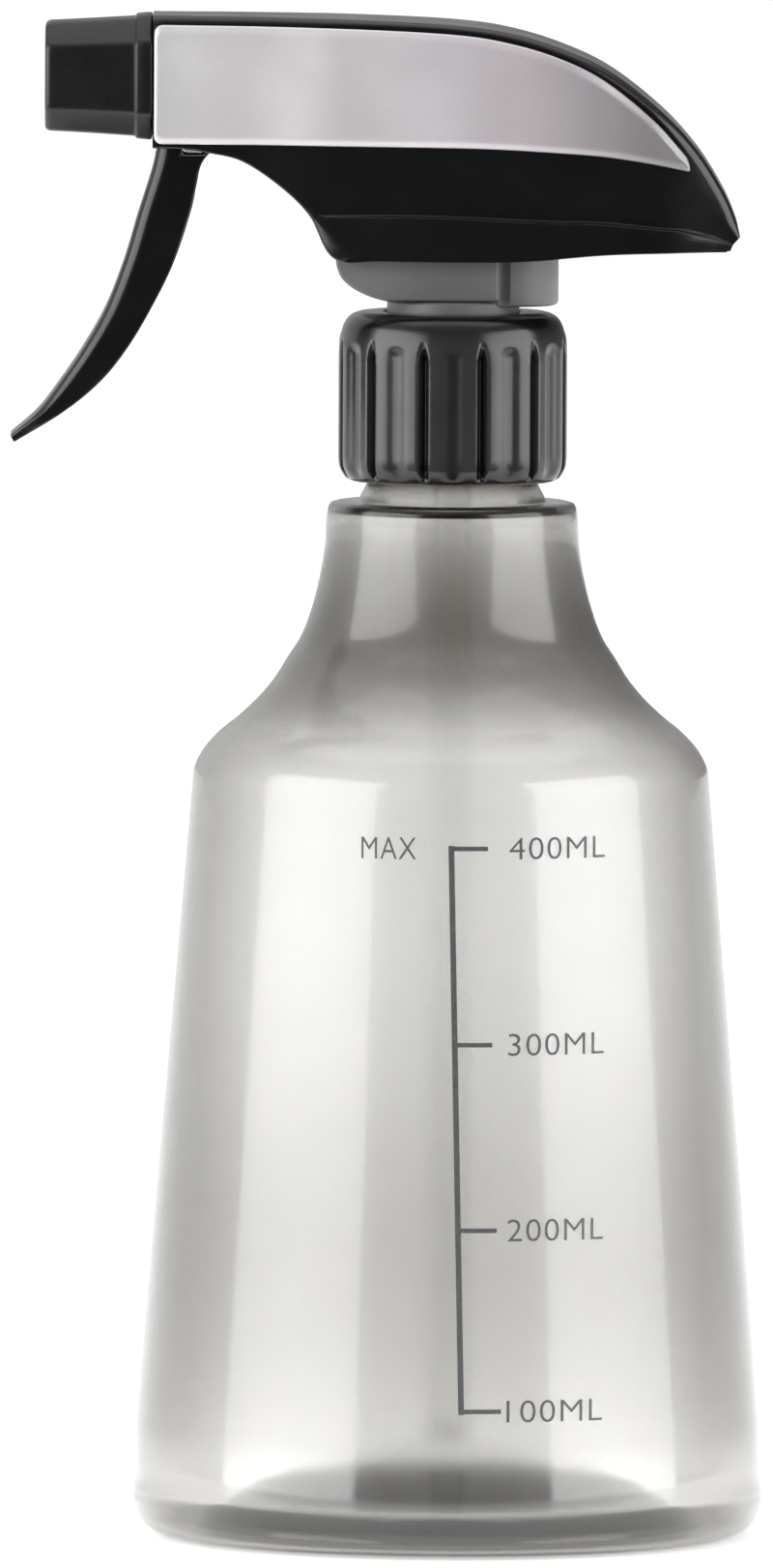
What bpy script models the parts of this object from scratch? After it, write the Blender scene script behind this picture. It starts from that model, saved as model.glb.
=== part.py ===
"""Hand mister: a half-litre bottle with a trigger sprayer head.

Units are metres, +Z up. The origin is under the middle of the whole object's
box, on the plane that the bottle stands on. The bottle's axis is vertical at
x = BOTTLE_AXIS_X. The nozzle sprays towards -X, and the tail of the shroud,
which the web of the thumb sits under, points to +X.

Heights below are above the standing plane. Lengths along X in the tables are
counted from the bottle's axis.
"""

import math

import bmesh
import bpy
from mathutils import Vector

MM = 0.001

# ---------------------------------------------------------------- dimensions
BOTTLE_AXIS_X = 8.275  # makes the whole box symmetric about x = 0

# Bottle, 500 ml brimful
BASE_R = 42.15
BASE_R_Z = 6.8
SHOULDER_R = 34.3
SHOULDER_Z = 101.3
BOTTLE_WALL = 0.9
NECK_R = 10.85  # thread root of a 24 mm, 410 style finish
NECK_BORE_R = 9.3
NECK_TOP_Z = 157.5
NECK_FOOT_Z = 137.8
MOUTH_R = 10.2  # the hole in the top of the body, under the neck
LEDGE_Z = 137.5
PUSH_UP = 8.4
THREAD_PITCH = 3.175  # 8 threads per inch
THREAD_CREST = 1.05
THREAD_START_Z = 146.0
THREAD_TURNS = 1.75

# Collar
COLLAR_BORE_R = 12.5
COLLAR_LOBES = 12
COLLAR_TOP_Z = 162.8
COLLAR_LOW_Z = 140.3
COLLAR_ROOF_Z = 160.9
COLLAR_HOLE_R = 9.2
COLLAR_THREAD_WIRE = 0.9

# Head
HUB_R = 8.8
STEM_BORE_R = 5.6
CYLINDER_Z = 186.0
CYLINDER_BORE_R = 4.3
CYLINDER_R = 5.5
CYLINDER_FRONT = -22.0
CYLINDER_BACK = 5.0
DISCHARGE_Z = 193.9
DISCHARGE_BORE_R = 1.2
NOZZLE_BORE_R = 2.3
NOZZLE_TUBE_R = 3.6
NOZZLE_TUBE_TIP = -46.0
VALVE_SEAT_X = -33.0

# Trigger
PIVOT_X = -34.5
PIVOT_Z = 196.2
TRUNNION_R = 1.5
CHEEK_INNER = 4.0
CHEEK_OUTER = 5.6
PIN_Z = CYLINDER_Z
PIN_R = 1.2

# Nozzle cap
CAP_BACK = -40.35
CAP_FRONT = -54.3
CAP_BACK_HALF = 8.3
CAP_FRONT_HALF = 7.2

# Shroud
SHROUD_FRONT = -40.0
SHROUD_WALL = 1.2
PANEL_GAP = 0.3
PANEL_THICK = 0.8

ROUND = 32  # sides of large round pieces
SMALL_ROUND = 16
TINY_ROUND = 12


# ---------------------------------------------------------------- scene
for leftover in list(bpy.data.objects):
    bpy.data.objects.remove(leftover, do_unlink=True)

parts = bpy.data.collections.new("hand_mister")
tools = bpy.data.collections.new("cutters")
bpy.context.scene.collection.children.link(parts)
bpy.context.scene.collection.children.link(tools)


def empty(name, x, z, parent=None):
    marker = bpy.data.objects.new(name, None)
    marker.empty_display_size = 0.01
    parts.objects.link(marker)
    marker.parent = parent
    base = parent["at"] if parent else (0.0, 0.0)
    marker["at"] = (x, z)
    marker.location = ((x - base[0]) * MM, 0.0, (z - base[1]) * MM)
    return marker


# The bottle's axis; every x below is counted from it.
root = bpy.data.objects.new("bottle_axis", None)
root.empty_display_size = 0.02
root["at"] = (0.0, 0.0)
root.location = (BOTTLE_AXIS_X * MM, 0.0, 0.0)
parts.objects.link(root)

trigger_pivot = empty("trigger_pivot", PIVOT_X, PIVOT_Z, root)
piston_axis = empty("piston_axis", PIVOT_X, CYLINDER_Z, root)
nozzle_axis = empty("nozzle_axis", CAP_BACK, DISCHARGE_Z, root)
outlet_axis = empty("outlet_axis", VALVE_SEAT_X, DISCHARGE_Z, root)
inlet_axis = empty("inlet_axis", 0.0, 165.0, root)


def material(name, colour, roughness, metallic=0.0, alpha=1.0, transmission=0.0):
    made = bpy.data.materials.new(name)
    made.use_nodes = True
    shader = made.node_tree.nodes["Principled BSDF"]
    shader.inputs["Base Color"].default_value = (*colour, 1.0)
    shader.inputs["Roughness"].default_value = roughness
    shader.inputs["Metallic"].default_value = metallic
    shader.inputs["Alpha"].default_value = alpha
    shader.inputs["Transmission Weight"].default_value = transmission
    return made


def adopt(obj, group, holder=root):
    """Puts an object in its collection and under the empty on its axis."""
    for user in list(obj.users_collection):
        user.objects.unlink(obj)
    group.objects.link(obj)
    obj.parent = holder
    x, z = holder["at"]
    obj.location = obj.location - Vector((x * MM, 0.0, z * MM))
    if group is tools:
        obj.hide_render = True
        obj.display_type = "WIRE"
    return obj


def finish(obj, colour, roughness, metallic=0.0, alpha=1.0, transmission=0.0):
    obj.data.materials.clear()
    obj.data.materials.append(
        material(obj.name, colour, roughness, metallic, alpha, transmission)
    )
    if obj.type == "MESH":
        obj.data.shade_smooth()
        obj.data.set_sharp_from_angle(angle=math.radians(35))
    return obj


def boolean(target, tool, operation, solver="EXACT"):
    step = target.modifiers.new(operation.title(), "BOOLEAN")
    step.operation = operation
    step.object = tool
    step.solver = solver


def turned(name, profile, steps, group, holder=root, closed=False, along="Z", at=(0, 0, 0)):
    """A profile of (radius, distance along the axis), outer side in falling order."""
    mesh = bpy.data.meshes.new(name)
    edges = [(i, i + 1) for i in range(len(profile) - 1)]
    if closed:
        edges.append((len(profile) - 1, 0))
    mesh.from_pydata([(r * MM, 0.0, a * MM) for r, a in profile], edges, [])
    obj = bpy.data.objects.new(name, mesh)
    obj.location = [v * MM for v in at]
    if along == "X":
        obj.rotation_euler = (0.0, math.radians(90), 0.0)
    turn = obj.modifiers.new("Turn", "SCREW")
    turn.axis = "Z"
    turn.angle = 2 * math.pi
    turn.steps = steps
    turn.render_steps = steps
    turn.use_merge_vertices = True
    turn.merge_threshold = 0.00001
    return adopt(obj, group, holder)


def rod(name, radius, low, high, steps, group, holder=root, along="Z", at=(0, 0, 0)):
    profile = [(0.0, high), (radius, high), (radius, low), (0.0, low)]
    return turned(name, profile, steps, group, holder, along=along, at=at)


def box(name, low, high, group, holder=root):
    bpy.ops.mesh.primitive_cube_add(size=1.0)
    obj = bpy.context.active_object
    obj.name = name
    for corner in obj.data.vertices:
        corner.co = Vector(
            [(lo + hi) / 2 * MM + c * (hi - lo) * MM for c, lo, hi in zip(corner.co, low, high)]
        )
    return adopt(obj, group, holder)


def ball(name, radius, at, group, holder=root, steps=12):
    bpy.ops.mesh.primitive_uv_sphere_add(
        segments=steps, ring_count=steps // 2, radius=radius * MM, location=[v * MM for v in at]
    )
    obj = bpy.context.active_object
    obj.name = name
    return adopt(obj, group, holder)


def loft(name, rings, group, holder=root, around=True, along=False):
    """Quads between rings of equal count; around closes each ring, along closes the row of rings."""
    shape = bmesh.new()
    rows = [[shape.verts.new(Vector(p) * MM) for p in ring] for ring in rings]
    count = len(rows[0])
    last = len(rows) if along else len(rows) - 1
    for i in range(last):
        first, second = rows[i], rows[(i + 1) % len(rows)]
        for j in range(count if around else count - 1):
            k = (j + 1) % count
            shape.faces.new((first[j], first[k], second[k], second[j]))
    bmesh.ops.recalc_face_normals(shape, faces=shape.faces)
    mesh = bpy.data.meshes.new(name)
    shape.to_mesh(mesh)
    shape.free()
    return adopt(bpy.data.objects.new(name, mesh), group, holder)


def plate(name, outline, low, high, group, holder=root, across="Y"):
    """A flat outline in XZ (across Y) or in XY (across Z), filled and extruded."""
    curve = bpy.data.curves.new(name, "CURVE")
    curve.dimensions = "2D"
    curve.fill_mode = "BOTH"
    curve.extrude = (high - low) / 2 * MM
    line = curve.splines.new("POLY")
    line.points.add(len(outline) - 1)
    for point, (u, v) in zip(line.points, outline):
        point.co = (u * MM, v * MM, 0.0, 1.0)
    line.use_cyclic_u = True
    flat = bpy.data.objects.new(name + "_outline", curve)
    middle = (low + high) / 2 * MM
    if across == "Y":
        flat.rotation_euler = (math.radians(90), 0.0, 0.0)
        flat.location = (0.0, middle, 0.0)
    else:
        flat.location = (0.0, 0.0, middle)
    obj = to_mesh(name, flat)
    return adopt(obj, group, holder)


def to_mesh(name, curve_object):
    """The curve's evaluated shape as a mesh with its caps welded; the curve goes."""
    bpy.context.scene.collection.objects.link(curve_object)
    bpy.context.view_layer.update()
    graph = bpy.context.evaluated_depsgraph_get()
    mesh = bpy.data.meshes.new_from_object(curve_object.evaluated_get(graph))
    weld = bmesh.new()
    weld.from_mesh(mesh)
    bmesh.ops.remove_doubles(weld, verts=weld.verts, dist=1e-7)
    bmesh.ops.recalc_face_normals(weld, faces=weld.faces)
    weld.to_mesh(mesh)
    weld.free()
    obj = bpy.data.objects.new(name, mesh)
    obj.matrix_world = curve_object.matrix_world
    bpy.data.objects.remove(curve_object, do_unlink=True)
    return obj


def coil_curve(name, radius, wire, start, pitch, turns, per_turn, along="Z", at=(0, 0), phase=0.0, taper=False, sides=2):
    """A helix; with along X, start is an x, and at holds (y, z) of its axis."""
    curve = bpy.data.curves.new(name, "CURVE")
    curve.dimensions = "3D"
    curve.bevel_depth = wire * MM
    curve.bevel_resolution = sides
    curve.use_fill_caps = True
    count = int(turns * per_turn) + 1
    line = curve.splines.new("POLY")
    line.points.add(count - 1)
    for i, point in enumerate(line.points):
        angle = 2 * math.pi * i / per_turn + phase
        rise = start + pitch * i / per_turn
        c, s = radius * math.cos(angle), radius * math.sin(angle)
        if along == "Z":
            point.co = (c * MM, s * MM, rise * MM, 1.0)
        else:
            point.co = (rise * MM, (at[0] + c) * MM, (at[1] + s) * MM, 1.0)
        if taper:
            point.radius = min(1.0, 0.35 + 0.13 * min(i, count - 1 - i))
    return bpy.data.objects.new(name, curve)


def spline(points, count):
    """count points on a smooth curve through the given ones."""
    rows = [Vector(p) for p in points]
    ends = [2 * rows[0] - rows[1], *rows, 2 * rows[-1] - rows[-2]]
    found = []
    for i in range(count):
        t = i / (count - 1) * (len(rows) - 1)
        k = min(int(t), len(rows) - 2)
        t -= k
        a, b, c, d = ends[k : k + 4]
        found.append(
            0.5 * (2 * b + (c - a) * t + (2 * a - 5 * b + 4 * c - d) * t * t + (3 * b - a - 3 * c + d) * t**3)
        )
    return found


def value_at(table, x):
    """Smooth interpolation in a table of (x, value)."""
    if x <= table[0][0]:
        return table[0][1]
    for (x0, v0), (x1, v1) in zip(table, table[1:]):
        if x <= x1:
            t = (x - x0) / (x1 - x0)
            t = t * t * (3 - 2 * t)
            return v0 + (v1 - v0) * t
    return table[-1][1]


def inset(profile, depth_at):
    """The profile moved to its right-hand side by a depth that may vary along it."""
    moved = []
    for i, (r, z) in enumerate(profile):
        before = profile[max(i - 1, 0)]
        after = profile[min(i + 1, len(profile) - 1)]
        d = Vector((after[0] - before[0], after[1] - before[1])).normalized()
        depth = depth_at(z)
        moved.append((max(r + d.y * depth, 0.0), z - d.x * depth))
    return moved


BLACK = (0.012, 0.012, 0.013)
SILVER = (0.62, 0.61, 0.63)
STEEL = (0.55, 0.55, 0.56)
NATURAL = (0.75, 0.75, 0.72)

# ---------------------------------------------------------------- bottle
# The threaded neck is a solid of its own over the body, with the small gap that touching meshes keep.
neck = [(MOUTH_R, LEDGE_Z), (12.5, LEDGE_Z)]
shoulder = [
    (15.5, LEDGE_Z), (16.45, 137.0), (16.65, 136.0), (16.9, 132.0), (17.7, 127.0), (18.7, 123.1), (20.2, 119.2),
    (21.8, 116.7), (23.4, 114.1), (25.5, 111.5), (28.1, 109.0), (31.2, 106.4), (33.2, 104.0),
]
wall = [(SHOULDER_R, SHOULDER_Z), (BASE_R, BASE_R_Z)]
heel = [(41.9, 4.2), (40.8, 1.7), (39.2, 0.45), (37.4, 0.0)]
dome = [(33.6, 0.0)] + [
    (33.0 * math.cos(a), 0.35 + (PUSH_UP - 0.35) * math.sin(a)) for a in [math.radians(d) for d in (8, 28, 50, 70)]
]
outside = neck + shoulder + wall + heel + dome + [(0.0, PUSH_UP)]


def wall_depth(z):
    return value_at([(120.0, BOTTLE_WALL), (142.0, NECK_R - NECK_BORE_R)], z)


inside = [p for p in inset(outside[:-1], wall_depth) if p[0] > 0.5] + [(0.0, PUSH_UP + BOTTLE_WALL)]
bottle = turned("bottle", inside[::-1] + outside, ROUND, parts)
finish(bottle, (0.45, 0.45, 0.44), 0.12, alpha=0.45, transmission=0.8)
neck_finish = turned(
    "neck_finish",
    [
        (10.45, NECK_TOP_Z), (NECK_R, NECK_TOP_Z - 0.4), (NECK_R, 141.4), (11.3, 140.1), (12.3, 138.1), (12.4, NECK_FOOT_Z),
        (NECK_BORE_R, NECK_FOOT_Z), (NECK_BORE_R, NECK_TOP_Z),
    ],
    ROUND,
    parts,
    closed=True,
)
bead = to_mesh(
    "bottle_thread",
    coil_curve("bead", NECK_R, THREAD_CREST, THREAD_START_Z, THREAD_PITCH, THREAD_TURNS, 16, taper=True),
)
boolean(neck_finish, adopt(bead, tools), "UNION")
finish(neck_finish, (0.45, 0.45, 0.44), 0.12, alpha=0.45, transmission=0.8)

# ---------------------------------------------------------------- closure collar
LOBE_POINTS = [(-15.0, 0.0), (-12.3, 1.0), (0.0, 0.8), (12.3, 1.0)]


def lobed(z, radius, groove):
    """A ring of twelve lobes, each with a shallow flute; groove is the depth between lobes."""
    ring = []
    for lobe in range(COLLAR_LOBES):
        for turn, height in LOBE_POINTS:
            angle = math.radians(lobe * 360.0 / COLLAR_LOBES + turn)
            r = radius - groove * (1.0 - height)
            ring.append((r * math.cos(angle), r * math.sin(angle), z))
    return ring


collar = loft(
    "closure_collar",
    [
        lobed(COLLAR_TOP_Z, 10.2, 0.0),
        lobed(162.5, 13.2, 0.3),
        lobed(161.5, 14.3, 0.7),
        lobed(157.2, 15.35, 1.25),
        lobed(145.0, 15.35, 1.25),
        lobed(142.1, 15.25, 1.15),
        lobed(140.7, 14.3, 0.5),
        lobed(COLLAR_LOW_Z, 13.3, 0.0),
        lobed(COLLAR_LOW_Z, 12.8, 0.0),
        lobed(141.2, COLLAR_BORE_R, 0.0),
        lobed(COLLAR_ROOF_Z, COLLAR_BORE_R, 0.0),
        lobed(COLLAR_ROOF_Z, COLLAR_HOLE_R, 0.0),
        lobed(COLLAR_TOP_Z, COLLAR_HOLE_R, 0.0),
    ],
    parts,
    along=True,
)
groove_wire = to_mesh(
    "collar_thread",
    coil_curve(
        "ridge", COLLAR_BORE_R, COLLAR_THREAD_WIRE, THREAD_START_Z + THREAD_PITCH / 2, THREAD_PITCH, 1.5, 16, taper=True
    ),
)
boolean(collar, adopt(groove_wire, tools), "UNION")
finish(collar, BLACK, 0.35)

# ---------------------------------------------------------------- seals and inlet valve
gasket = turned(
    "neck_gasket",
    [(11.2, 159.0), (11.2, 157.8), (8.0, 157.8), (8.0, 159.0)],
    24,
    parts,
    closed=True,
)
finish(gasket, (0.5, 0.5, 0.5), 0.7)

housing = turned(
    "valve_housing",
    [
        (2.6, 172.0), (4.6, 172.0), (5.0, 171.6), (5.0, 170.3), (4.1, 170.3), (4.1, 168.7), (5.0, 168.7),
        (5.0, 160.6), (11.2, 160.6), (11.2, 159.3), (7.4, 159.3), (6.2, 158.3), (4.2, 157.6), (4.2, 146.0),
        (2.8, 146.0), (2.8, 156.2), (1.5, 156.2), (1.5, 163.0), (2.6, 164.1),
    ],
    SMALL_ROUND,
    parts,
    closed=True,
)
boolean(housing, box("ball_stop", (-3.3, -0.5, 168.4), (3.3, 0.5, 169.6), tools), "UNION")
finish(housing, NATURAL, 0.4)

check_ball = ball("inlet_ball", 2.0, (0.0, 0.0, 165.0), parts, inlet_axis)
finish(check_ball, STEEL, 0.15, metallic=1.0)


def ring_section(radius, wire, at, sides=8):
    return [
        (radius + wire * math.cos(2 * math.pi * i / sides), at - wire * math.sin(2 * math.pi * i / sides))
        for i in range(sides)
    ]


stem_seal = turned("stem_seal", ring_section(4.85, 0.45, 169.5), SMALL_ROUND, parts, closed=True)
finish(stem_seal, BLACK, 0.6)

tube = turned(
    "dip_tube",
    [(2.5, 155.9), (2.5, 12.0), (1.8, 12.0), (1.8, 155.9)],
    TINY_ROUND,
    parts,
    closed=True,
)
finish(tube, (0.8, 0.8, 0.78), 0.3, alpha=0.6, transmission=0.5)

# ---------------------------------------------------------------- pump body
body = turned(
    "pump_body",
    [(0.0, 182.5), (3.4, 182.5), (3.4, 176.5), (7.2, 174.6), (7.2, 164.3), (HUB_R, 164.3), (HUB_R, 160.9), (0.0, 160.9)],
    32,
    parts,
)
neck_outline = [
    (-15.6, 171.6), (-15.6, 169.6), (-14.9, 167.4), (-13.6, 166.3), (-12.1, 165.5), (-10.4, 164.8), (-9.0, 164.5), (6.0, 164.5), (6.0, 171.6),
]
fairing = plate("neck_fairing", neck_outline, -8.2, 8.2, tools)
boolean(body, fairing, "UNION")
boolean(body, rod("rear_pillar", 6.9, 163.7, 171.9, SMALL_ROUND, tools, at=(7.1, 0, 0)), "UNION")
boolean(
    body,
    rod("cylinder_wall", CYLINDER_R, CYLINDER_FRONT, CYLINDER_BACK, SMALL_ROUND, tools, along="X", at=(0, 0, CYLINDER_Z)),
    "UNION",
)
boolean(body, box("web", (-30.5, -0.9, 188.5), (4.5, 0.9, 193.0), tools), "UNION")
boolean(body, box("riser", (0.4, -2.2, 188.0), (5.2, 2.2, 193.5), tools), "UNION")
boolean(
    body,
    turned(
        "discharge_tube",
        [
            (0.0, 6.2), (2.8, 6.2), (2.8, -29.5), (NOZZLE_TUBE_R, -30.3), (NOZZLE_TUBE_R, -42.9), (2.85, -42.9), (2.85, -44.1),
            (NOZZLE_TUBE_R, -44.1), (NOZZLE_TUBE_R, -45.6), (3.2, NOZZLE_TUBE_TIP), (0.0, NOZZLE_TUBE_TIP),
        ],
        SMALL_ROUND,
        tools,
        along="X",
        at=(0, 0, DISCHARGE_Z),
    ),
    "UNION",
)
trunnions = rod("trunnions", TRUNNION_R, -5.9, 5.9, TINY_ROUND, tools)
trunnions.location = (PIVOT_X * MM, 0.0, PIVOT_Z * MM)
trunnions.rotation_euler = (math.radians(90), 0.0, 0.0)
boolean(body, trunnions, "UNION")
boolean(body, rod("stem_bore", STEM_BORE_R, 160.0, 172.5, SMALL_ROUND, tools), "DIFFERENCE")
suction_passage = rod("suction_passage", 1.6, 171.0, CYLINDER_Z + 0.3, TINY_ROUND, tools)
suction_passage.rotation_euler = (0.0, 0.0, math.radians(5))
boolean(body, suction_passage, "DIFFERENCE")
boolean(
    body,
    rod("cylinder_bore", CYLINDER_BORE_R, -23.0, 6.0, SMALL_ROUND, tools, along="X", at=(0, 0, CYLINDER_Z)),
    "DIFFERENCE",
)
riser_bore = rod("riser_bore", DISCHARGE_BORE_R, CYLINDER_Z + 0.4, DISCHARGE_Z + 0.2, TINY_ROUND, tools, at=(2.8, 0, 0))
riser_bore.rotation_euler = (0.0, 0.0, math.radians(5))
boolean(body, riser_bore, "DIFFERENCE", "MANIFOLD")
boolean(
    body,
    turned(
        "discharge_bore",
        [
            (0.0, 7.0), (DISCHARGE_BORE_R, 7.0), (DISCHARGE_BORE_R, VALVE_SEAT_X), (NOZZLE_BORE_R, VALVE_SEAT_X),
            (NOZZLE_BORE_R, -47.0), (0.0, -47.0),
        ],
        TINY_ROUND,
        tools,
        along="X",
        at=(0, 0, DISCHARGE_Z),
    ),
    "DIFFERENCE",
    "MANIFOLD",
)
# The groove between the fairing and the pillar
for side in (-1, 1):
    low, high = sorted((side * 6.5, side * 9.5))
    boolean(body, box(f"pillar_groove_{side}", (6.0, low, 163.0), (7.6, high, 172.5), tools), "DIFFERENCE", "MANIFOLD")
finish(body, (0.05, 0.05, 0.052), 0.4)

cylinder_plug = turned(
    "cylinder_plug",
    [
        (0.0, 6.8), (4.4, 6.8), (4.8, 6.4), (4.8, 5.3), (4.0, 5.3), (4.0, 2.9), (3.0, 2.9), (3.0, 4.4), (0.0, 4.4),
    ],
    SMALL_ROUND,
    parts,
    along="X",
    at=(0, 0, CYLINDER_Z),
)
# Its skirt has a notch, so that liquid reaches the riser
boolean(cylinder_plug, box("plug_notch", (1.0, -1.3, 188.0), (4.9, 1.3, 191.0), tools), "DIFFERENCE")
finish(cylinder_plug, NATURAL, 0.4)

discharge_plug = turned(
    "discharge_plug",
    [(0.0, 7.7), (2.3, 7.7), (2.6, 7.4), (2.6, 6.5), (0.9, 6.5), (0.9, 4.6), (0.0, 4.6)],
    TINY_ROUND,
    parts,
    along="X",
    at=(0, 0, DISCHARGE_Z),
)
finish(discharge_plug, NATURAL, 0.4)

# ---------------------------------------------------------------- piston
piston = turned(
    "piston_rod",
    [
        (0.0, -10.0), (3.2, -10.0), (3.4, -10.2), (3.4, -10.9), (1.9, -10.9), (1.9, -16.5), (3.6, -16.5), (3.6, -17.4),
        (1.9, -17.4), (1.9, -33.2), (2.3, -33.6), (2.3, -35.4), (1.9, -36.0), (0.0, -36.0),
    ],
    TINY_ROUND,
    parts,
    piston_axis,
    along="X",
    at=(0, 0, CYLINDER_Z),
)
cross_pin = rod("cross_pin", PIN_R, -5.4, 5.4, 12, tools, piston_axis)
cross_pin.location = (0.0, 0.0, 0.0)
cross_pin.rotation_euler = (math.radians(90), 0.0, 0.0)
boolean(piston, cross_pin, "UNION")
finish(piston, NATURAL, 0.35)

cup = turned(
    "piston_cup",
    [
        (3.2, -11.2), (4.02, -11.2), (4.02, -12.0), (3.6, -12.6), (3.6, -14.8), (4.02, -15.4), (4.02, -16.2), (3.2, -16.2),
        (2.9, -15.4), (2.2, -15.4), (2.2, -12.0), (2.9, -12.0),
    ],
    SMALL_ROUND,
    parts,
    piston_axis,
    closed=True,
    along="X",
    at=(0, 0, CYLINDER_Z),
)
finish(cup, (0.7, 0.7, 0.68), 0.55)

spring = coil_curve("return_spring", 2.75, 0.35, -9.3, 1.82, 6.3, 10, along="X", at=(0, CYLINDER_Z), sides=1)
bpy.context.scene.collection.objects.link(spring)
adopt(spring, parts, piston_axis)
finish(spring, STEEL, 0.25, metallic=1.0)

# ---------------------------------------------------------------- outlet valve and nozzle
poppet = turned(
    "outlet_valve",
    [(0.0, -33.0), (0.85, -33.4), (1.9, -33.9), (1.9, -34.7), (0.8, -35.1), (0.8, -37.0), (0.0, -37.0)],
    TINY_ROUND,
    parts,
    outlet_axis,
    along="X",
    at=(0, 0, DISCHARGE_Z),
)
finish(poppet, NATURAL, 0.35)

outlet_spring = coil_curve("outlet_valve_spring", 1.5, 0.2, -39.9, 0.98, 4.6, 8, along="X", at=(0, DISCHARGE_Z), sides=1)
bpy.context.scene.collection.objects.link(outlet_spring)
adopt(outlet_spring, parts, outlet_axis)
finish(outlet_spring, STEEL, 0.25, metallic=1.0)

spinner = turned(
    "spinner",
    [(0.0, -40.5), (1.9, -40.5), (1.9, -45.4), (1.5, -46.6), (0.0, -46.6)],
    TINY_ROUND,
    parts,
    along="X",
    at=(0, 0, DISCHARGE_Z),
)
for side in (-1, 1):
    low, high = sorted((side * 1.35, side * 3.0))
    boolean(
        spinner,
        box(f"spinner_flat_{side}", (-47.5, low, DISCHARGE_Z - 0.6), (-40.0, high, DISCHARGE_Z + 0.6), tools),
        "DIFFERENCE",
    )
finish(spinner, NATURAL, 0.35)



def octagon(x, half, cut):
    """A square ring with its corners cut, round the nozzle's axis."""
    flat = half - cut
    corners = [(half, flat), (flat, half), (-flat, half), (-half, flat), (-half, -flat), (-flat, -half), (flat, -half), (half, -flat)]
    return [(x, y, DISCHARGE_Z + z) for y, z in corners]


nozzle = loft(
    "nozzle_cap",
    [
        octagon(CAP_BACK, 0.6, 0.2),
        octagon(CAP_BACK, CAP_BACK_HALF - 0.3, 3.3),
        octagon(CAP_BACK - 0.3, CAP_BACK_HALF, 3.5),
        octagon(CAP_FRONT + 0.5, CAP_FRONT_HALF, 3.0),
        octagon(CAP_FRONT, CAP_FRONT_HALF - 0.5, 2.8),
        octagon(CAP_FRONT, 0.6, 0.2),
    ],
    parts,
    nozzle_axis,
)
# The bore and the orifice take away the two small open ends.
bmesh_cap = bmesh.new()
bmesh_cap.from_mesh(nozzle.data)
bmesh.ops.holes_fill(bmesh_cap, edges=[e for e in bmesh_cap.edges if e.is_boundary])
bmesh.ops.recalc_face_normals(bmesh_cap, faces=bmesh_cap.faces)
bmesh_cap.to_mesh(nozzle.data)
bmesh_cap.free()
boolean(
    nozzle,
    turned(
        "cap_bore",
        [(0.0, -38.0), (4.0, -38.0), (4.0, -46.4), (2.6, -46.4), (2.6, -50.6), (0.45, -51.6), (0.45, -56.0), (0.0, -56.0)],
        SMALL_ROUND,
        tools,
        nozzle_axis,
        along="X",
        at=(0, 0, DISCHARGE_Z),
    ),
    "DIFFERENCE",
)
boolean(
    nozzle,
    rod("orifice_recess", 3.0, -56.0, -53.0, SMALL_ROUND, tools, nozzle_axis, along="X", at=(0, 0, DISCHARGE_Z)),
    "DIFFERENCE",
)
finish(nozzle, BLACK, 0.35)

nozzle_seal = turned(
    "nozzle_seal", ring_section(3.4, 0.3, -43.5, 6), SMALL_ROUND, parts, closed=True, along="X", at=(0, 0, DISCHARGE_Z)
)
finish(nozzle_seal, BLACK, 0.6)

# ---------------------------------------------------------------- trigger
LEVER_FRONT = [
    (-35.0, 200.1), (-38.0, 198.6), (-38.6, 195.0), (-38.6, 190.0), (-39.3, 185.6), (-39.9, 182.4), (-40.7, 179.6), (-42.0, 175.5),
    (-43.8, 169.4), (-46.2, 163.2), (-49.2, 157.8), (-52.3, 153.2), (-55.2, 149.4), (-58.7, 146.3),
]
LEVER_BACK = [
    (-33.6, 200.1), (-31.0, 198.4), (-30.5, 195.0), (-30.5, 190.0), (-31.2, 185.6), (-33.4, 182.6), (-34.1, 179.8), (-34.9, 176.0),
    (-37.1, 169.4), (-39.9, 163.6), (-43.2, 158.0), (-46.8, 153.5), (-51.6, 149.5), (-58.2, 145.4),
]
LEVER_HALF = [(145.0, 5.4), (149.0, 6.6), (158.0, 7.2), (168.0, 6.6), (178.0, CHEEK_OUTER)]
sections = []
for front, back in zip(spline([(*p, 0) for p in LEVER_FRONT], 22), spline([(*p, 0) for p in LEVER_BACK], 22)):
    half = value_at(LEVER_HALF, front.y)
    corner = min(1.3, 0.3 * (back - front).length)
    inward = (back - front).normalized() * corner
    sections.append(
        [
            (back.x, -half, back.y),
            (front.x + inward.x, -half, front.y + inward.y),
            (front.x + 0.3 * inward.x, -half + 0.3 * corner, front.y + 0.3 * inward.y),
            (front.x, -half + corner, front.y),
            (front.x, half - corner, front.y),
            (front.x + 0.3 * inward.x, half - 0.3 * corner, front.y + 0.3 * inward.y),
            (front.x + inward.x, half, front.y + inward.y),
            (back.x, half, back.y),
        ]
    )
trigger = loft("trigger", sections, parts, trigger_pivot, around=False)
shell = trigger.modifiers.new("Wall", "SOLIDIFY")
shell.thickness = (CHEEK_OUTER - CHEEK_INNER) * MM
shell.offset = -1.0
boolean(trigger, box("cheek_gap", (-44.0, -CHEEK_INNER, 183.6), (-28.0, CHEEK_INNER, 203.0), tools, trigger_pivot), "DIFFERENCE")
hinge_hole = rod("hinge_hole", TRUNNION_R + 0.28, -8.0, 8.0, TINY_ROUND, tools, trigger_pivot)
hinge_hole.location = (0.0, 0.0, 0.0)
hinge_hole.rotation_euler = (math.radians(90), 0.0, 0.0)
boolean(trigger, hinge_hole, "DIFFERENCE")
slot_z = PIN_Z - 0.36
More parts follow.
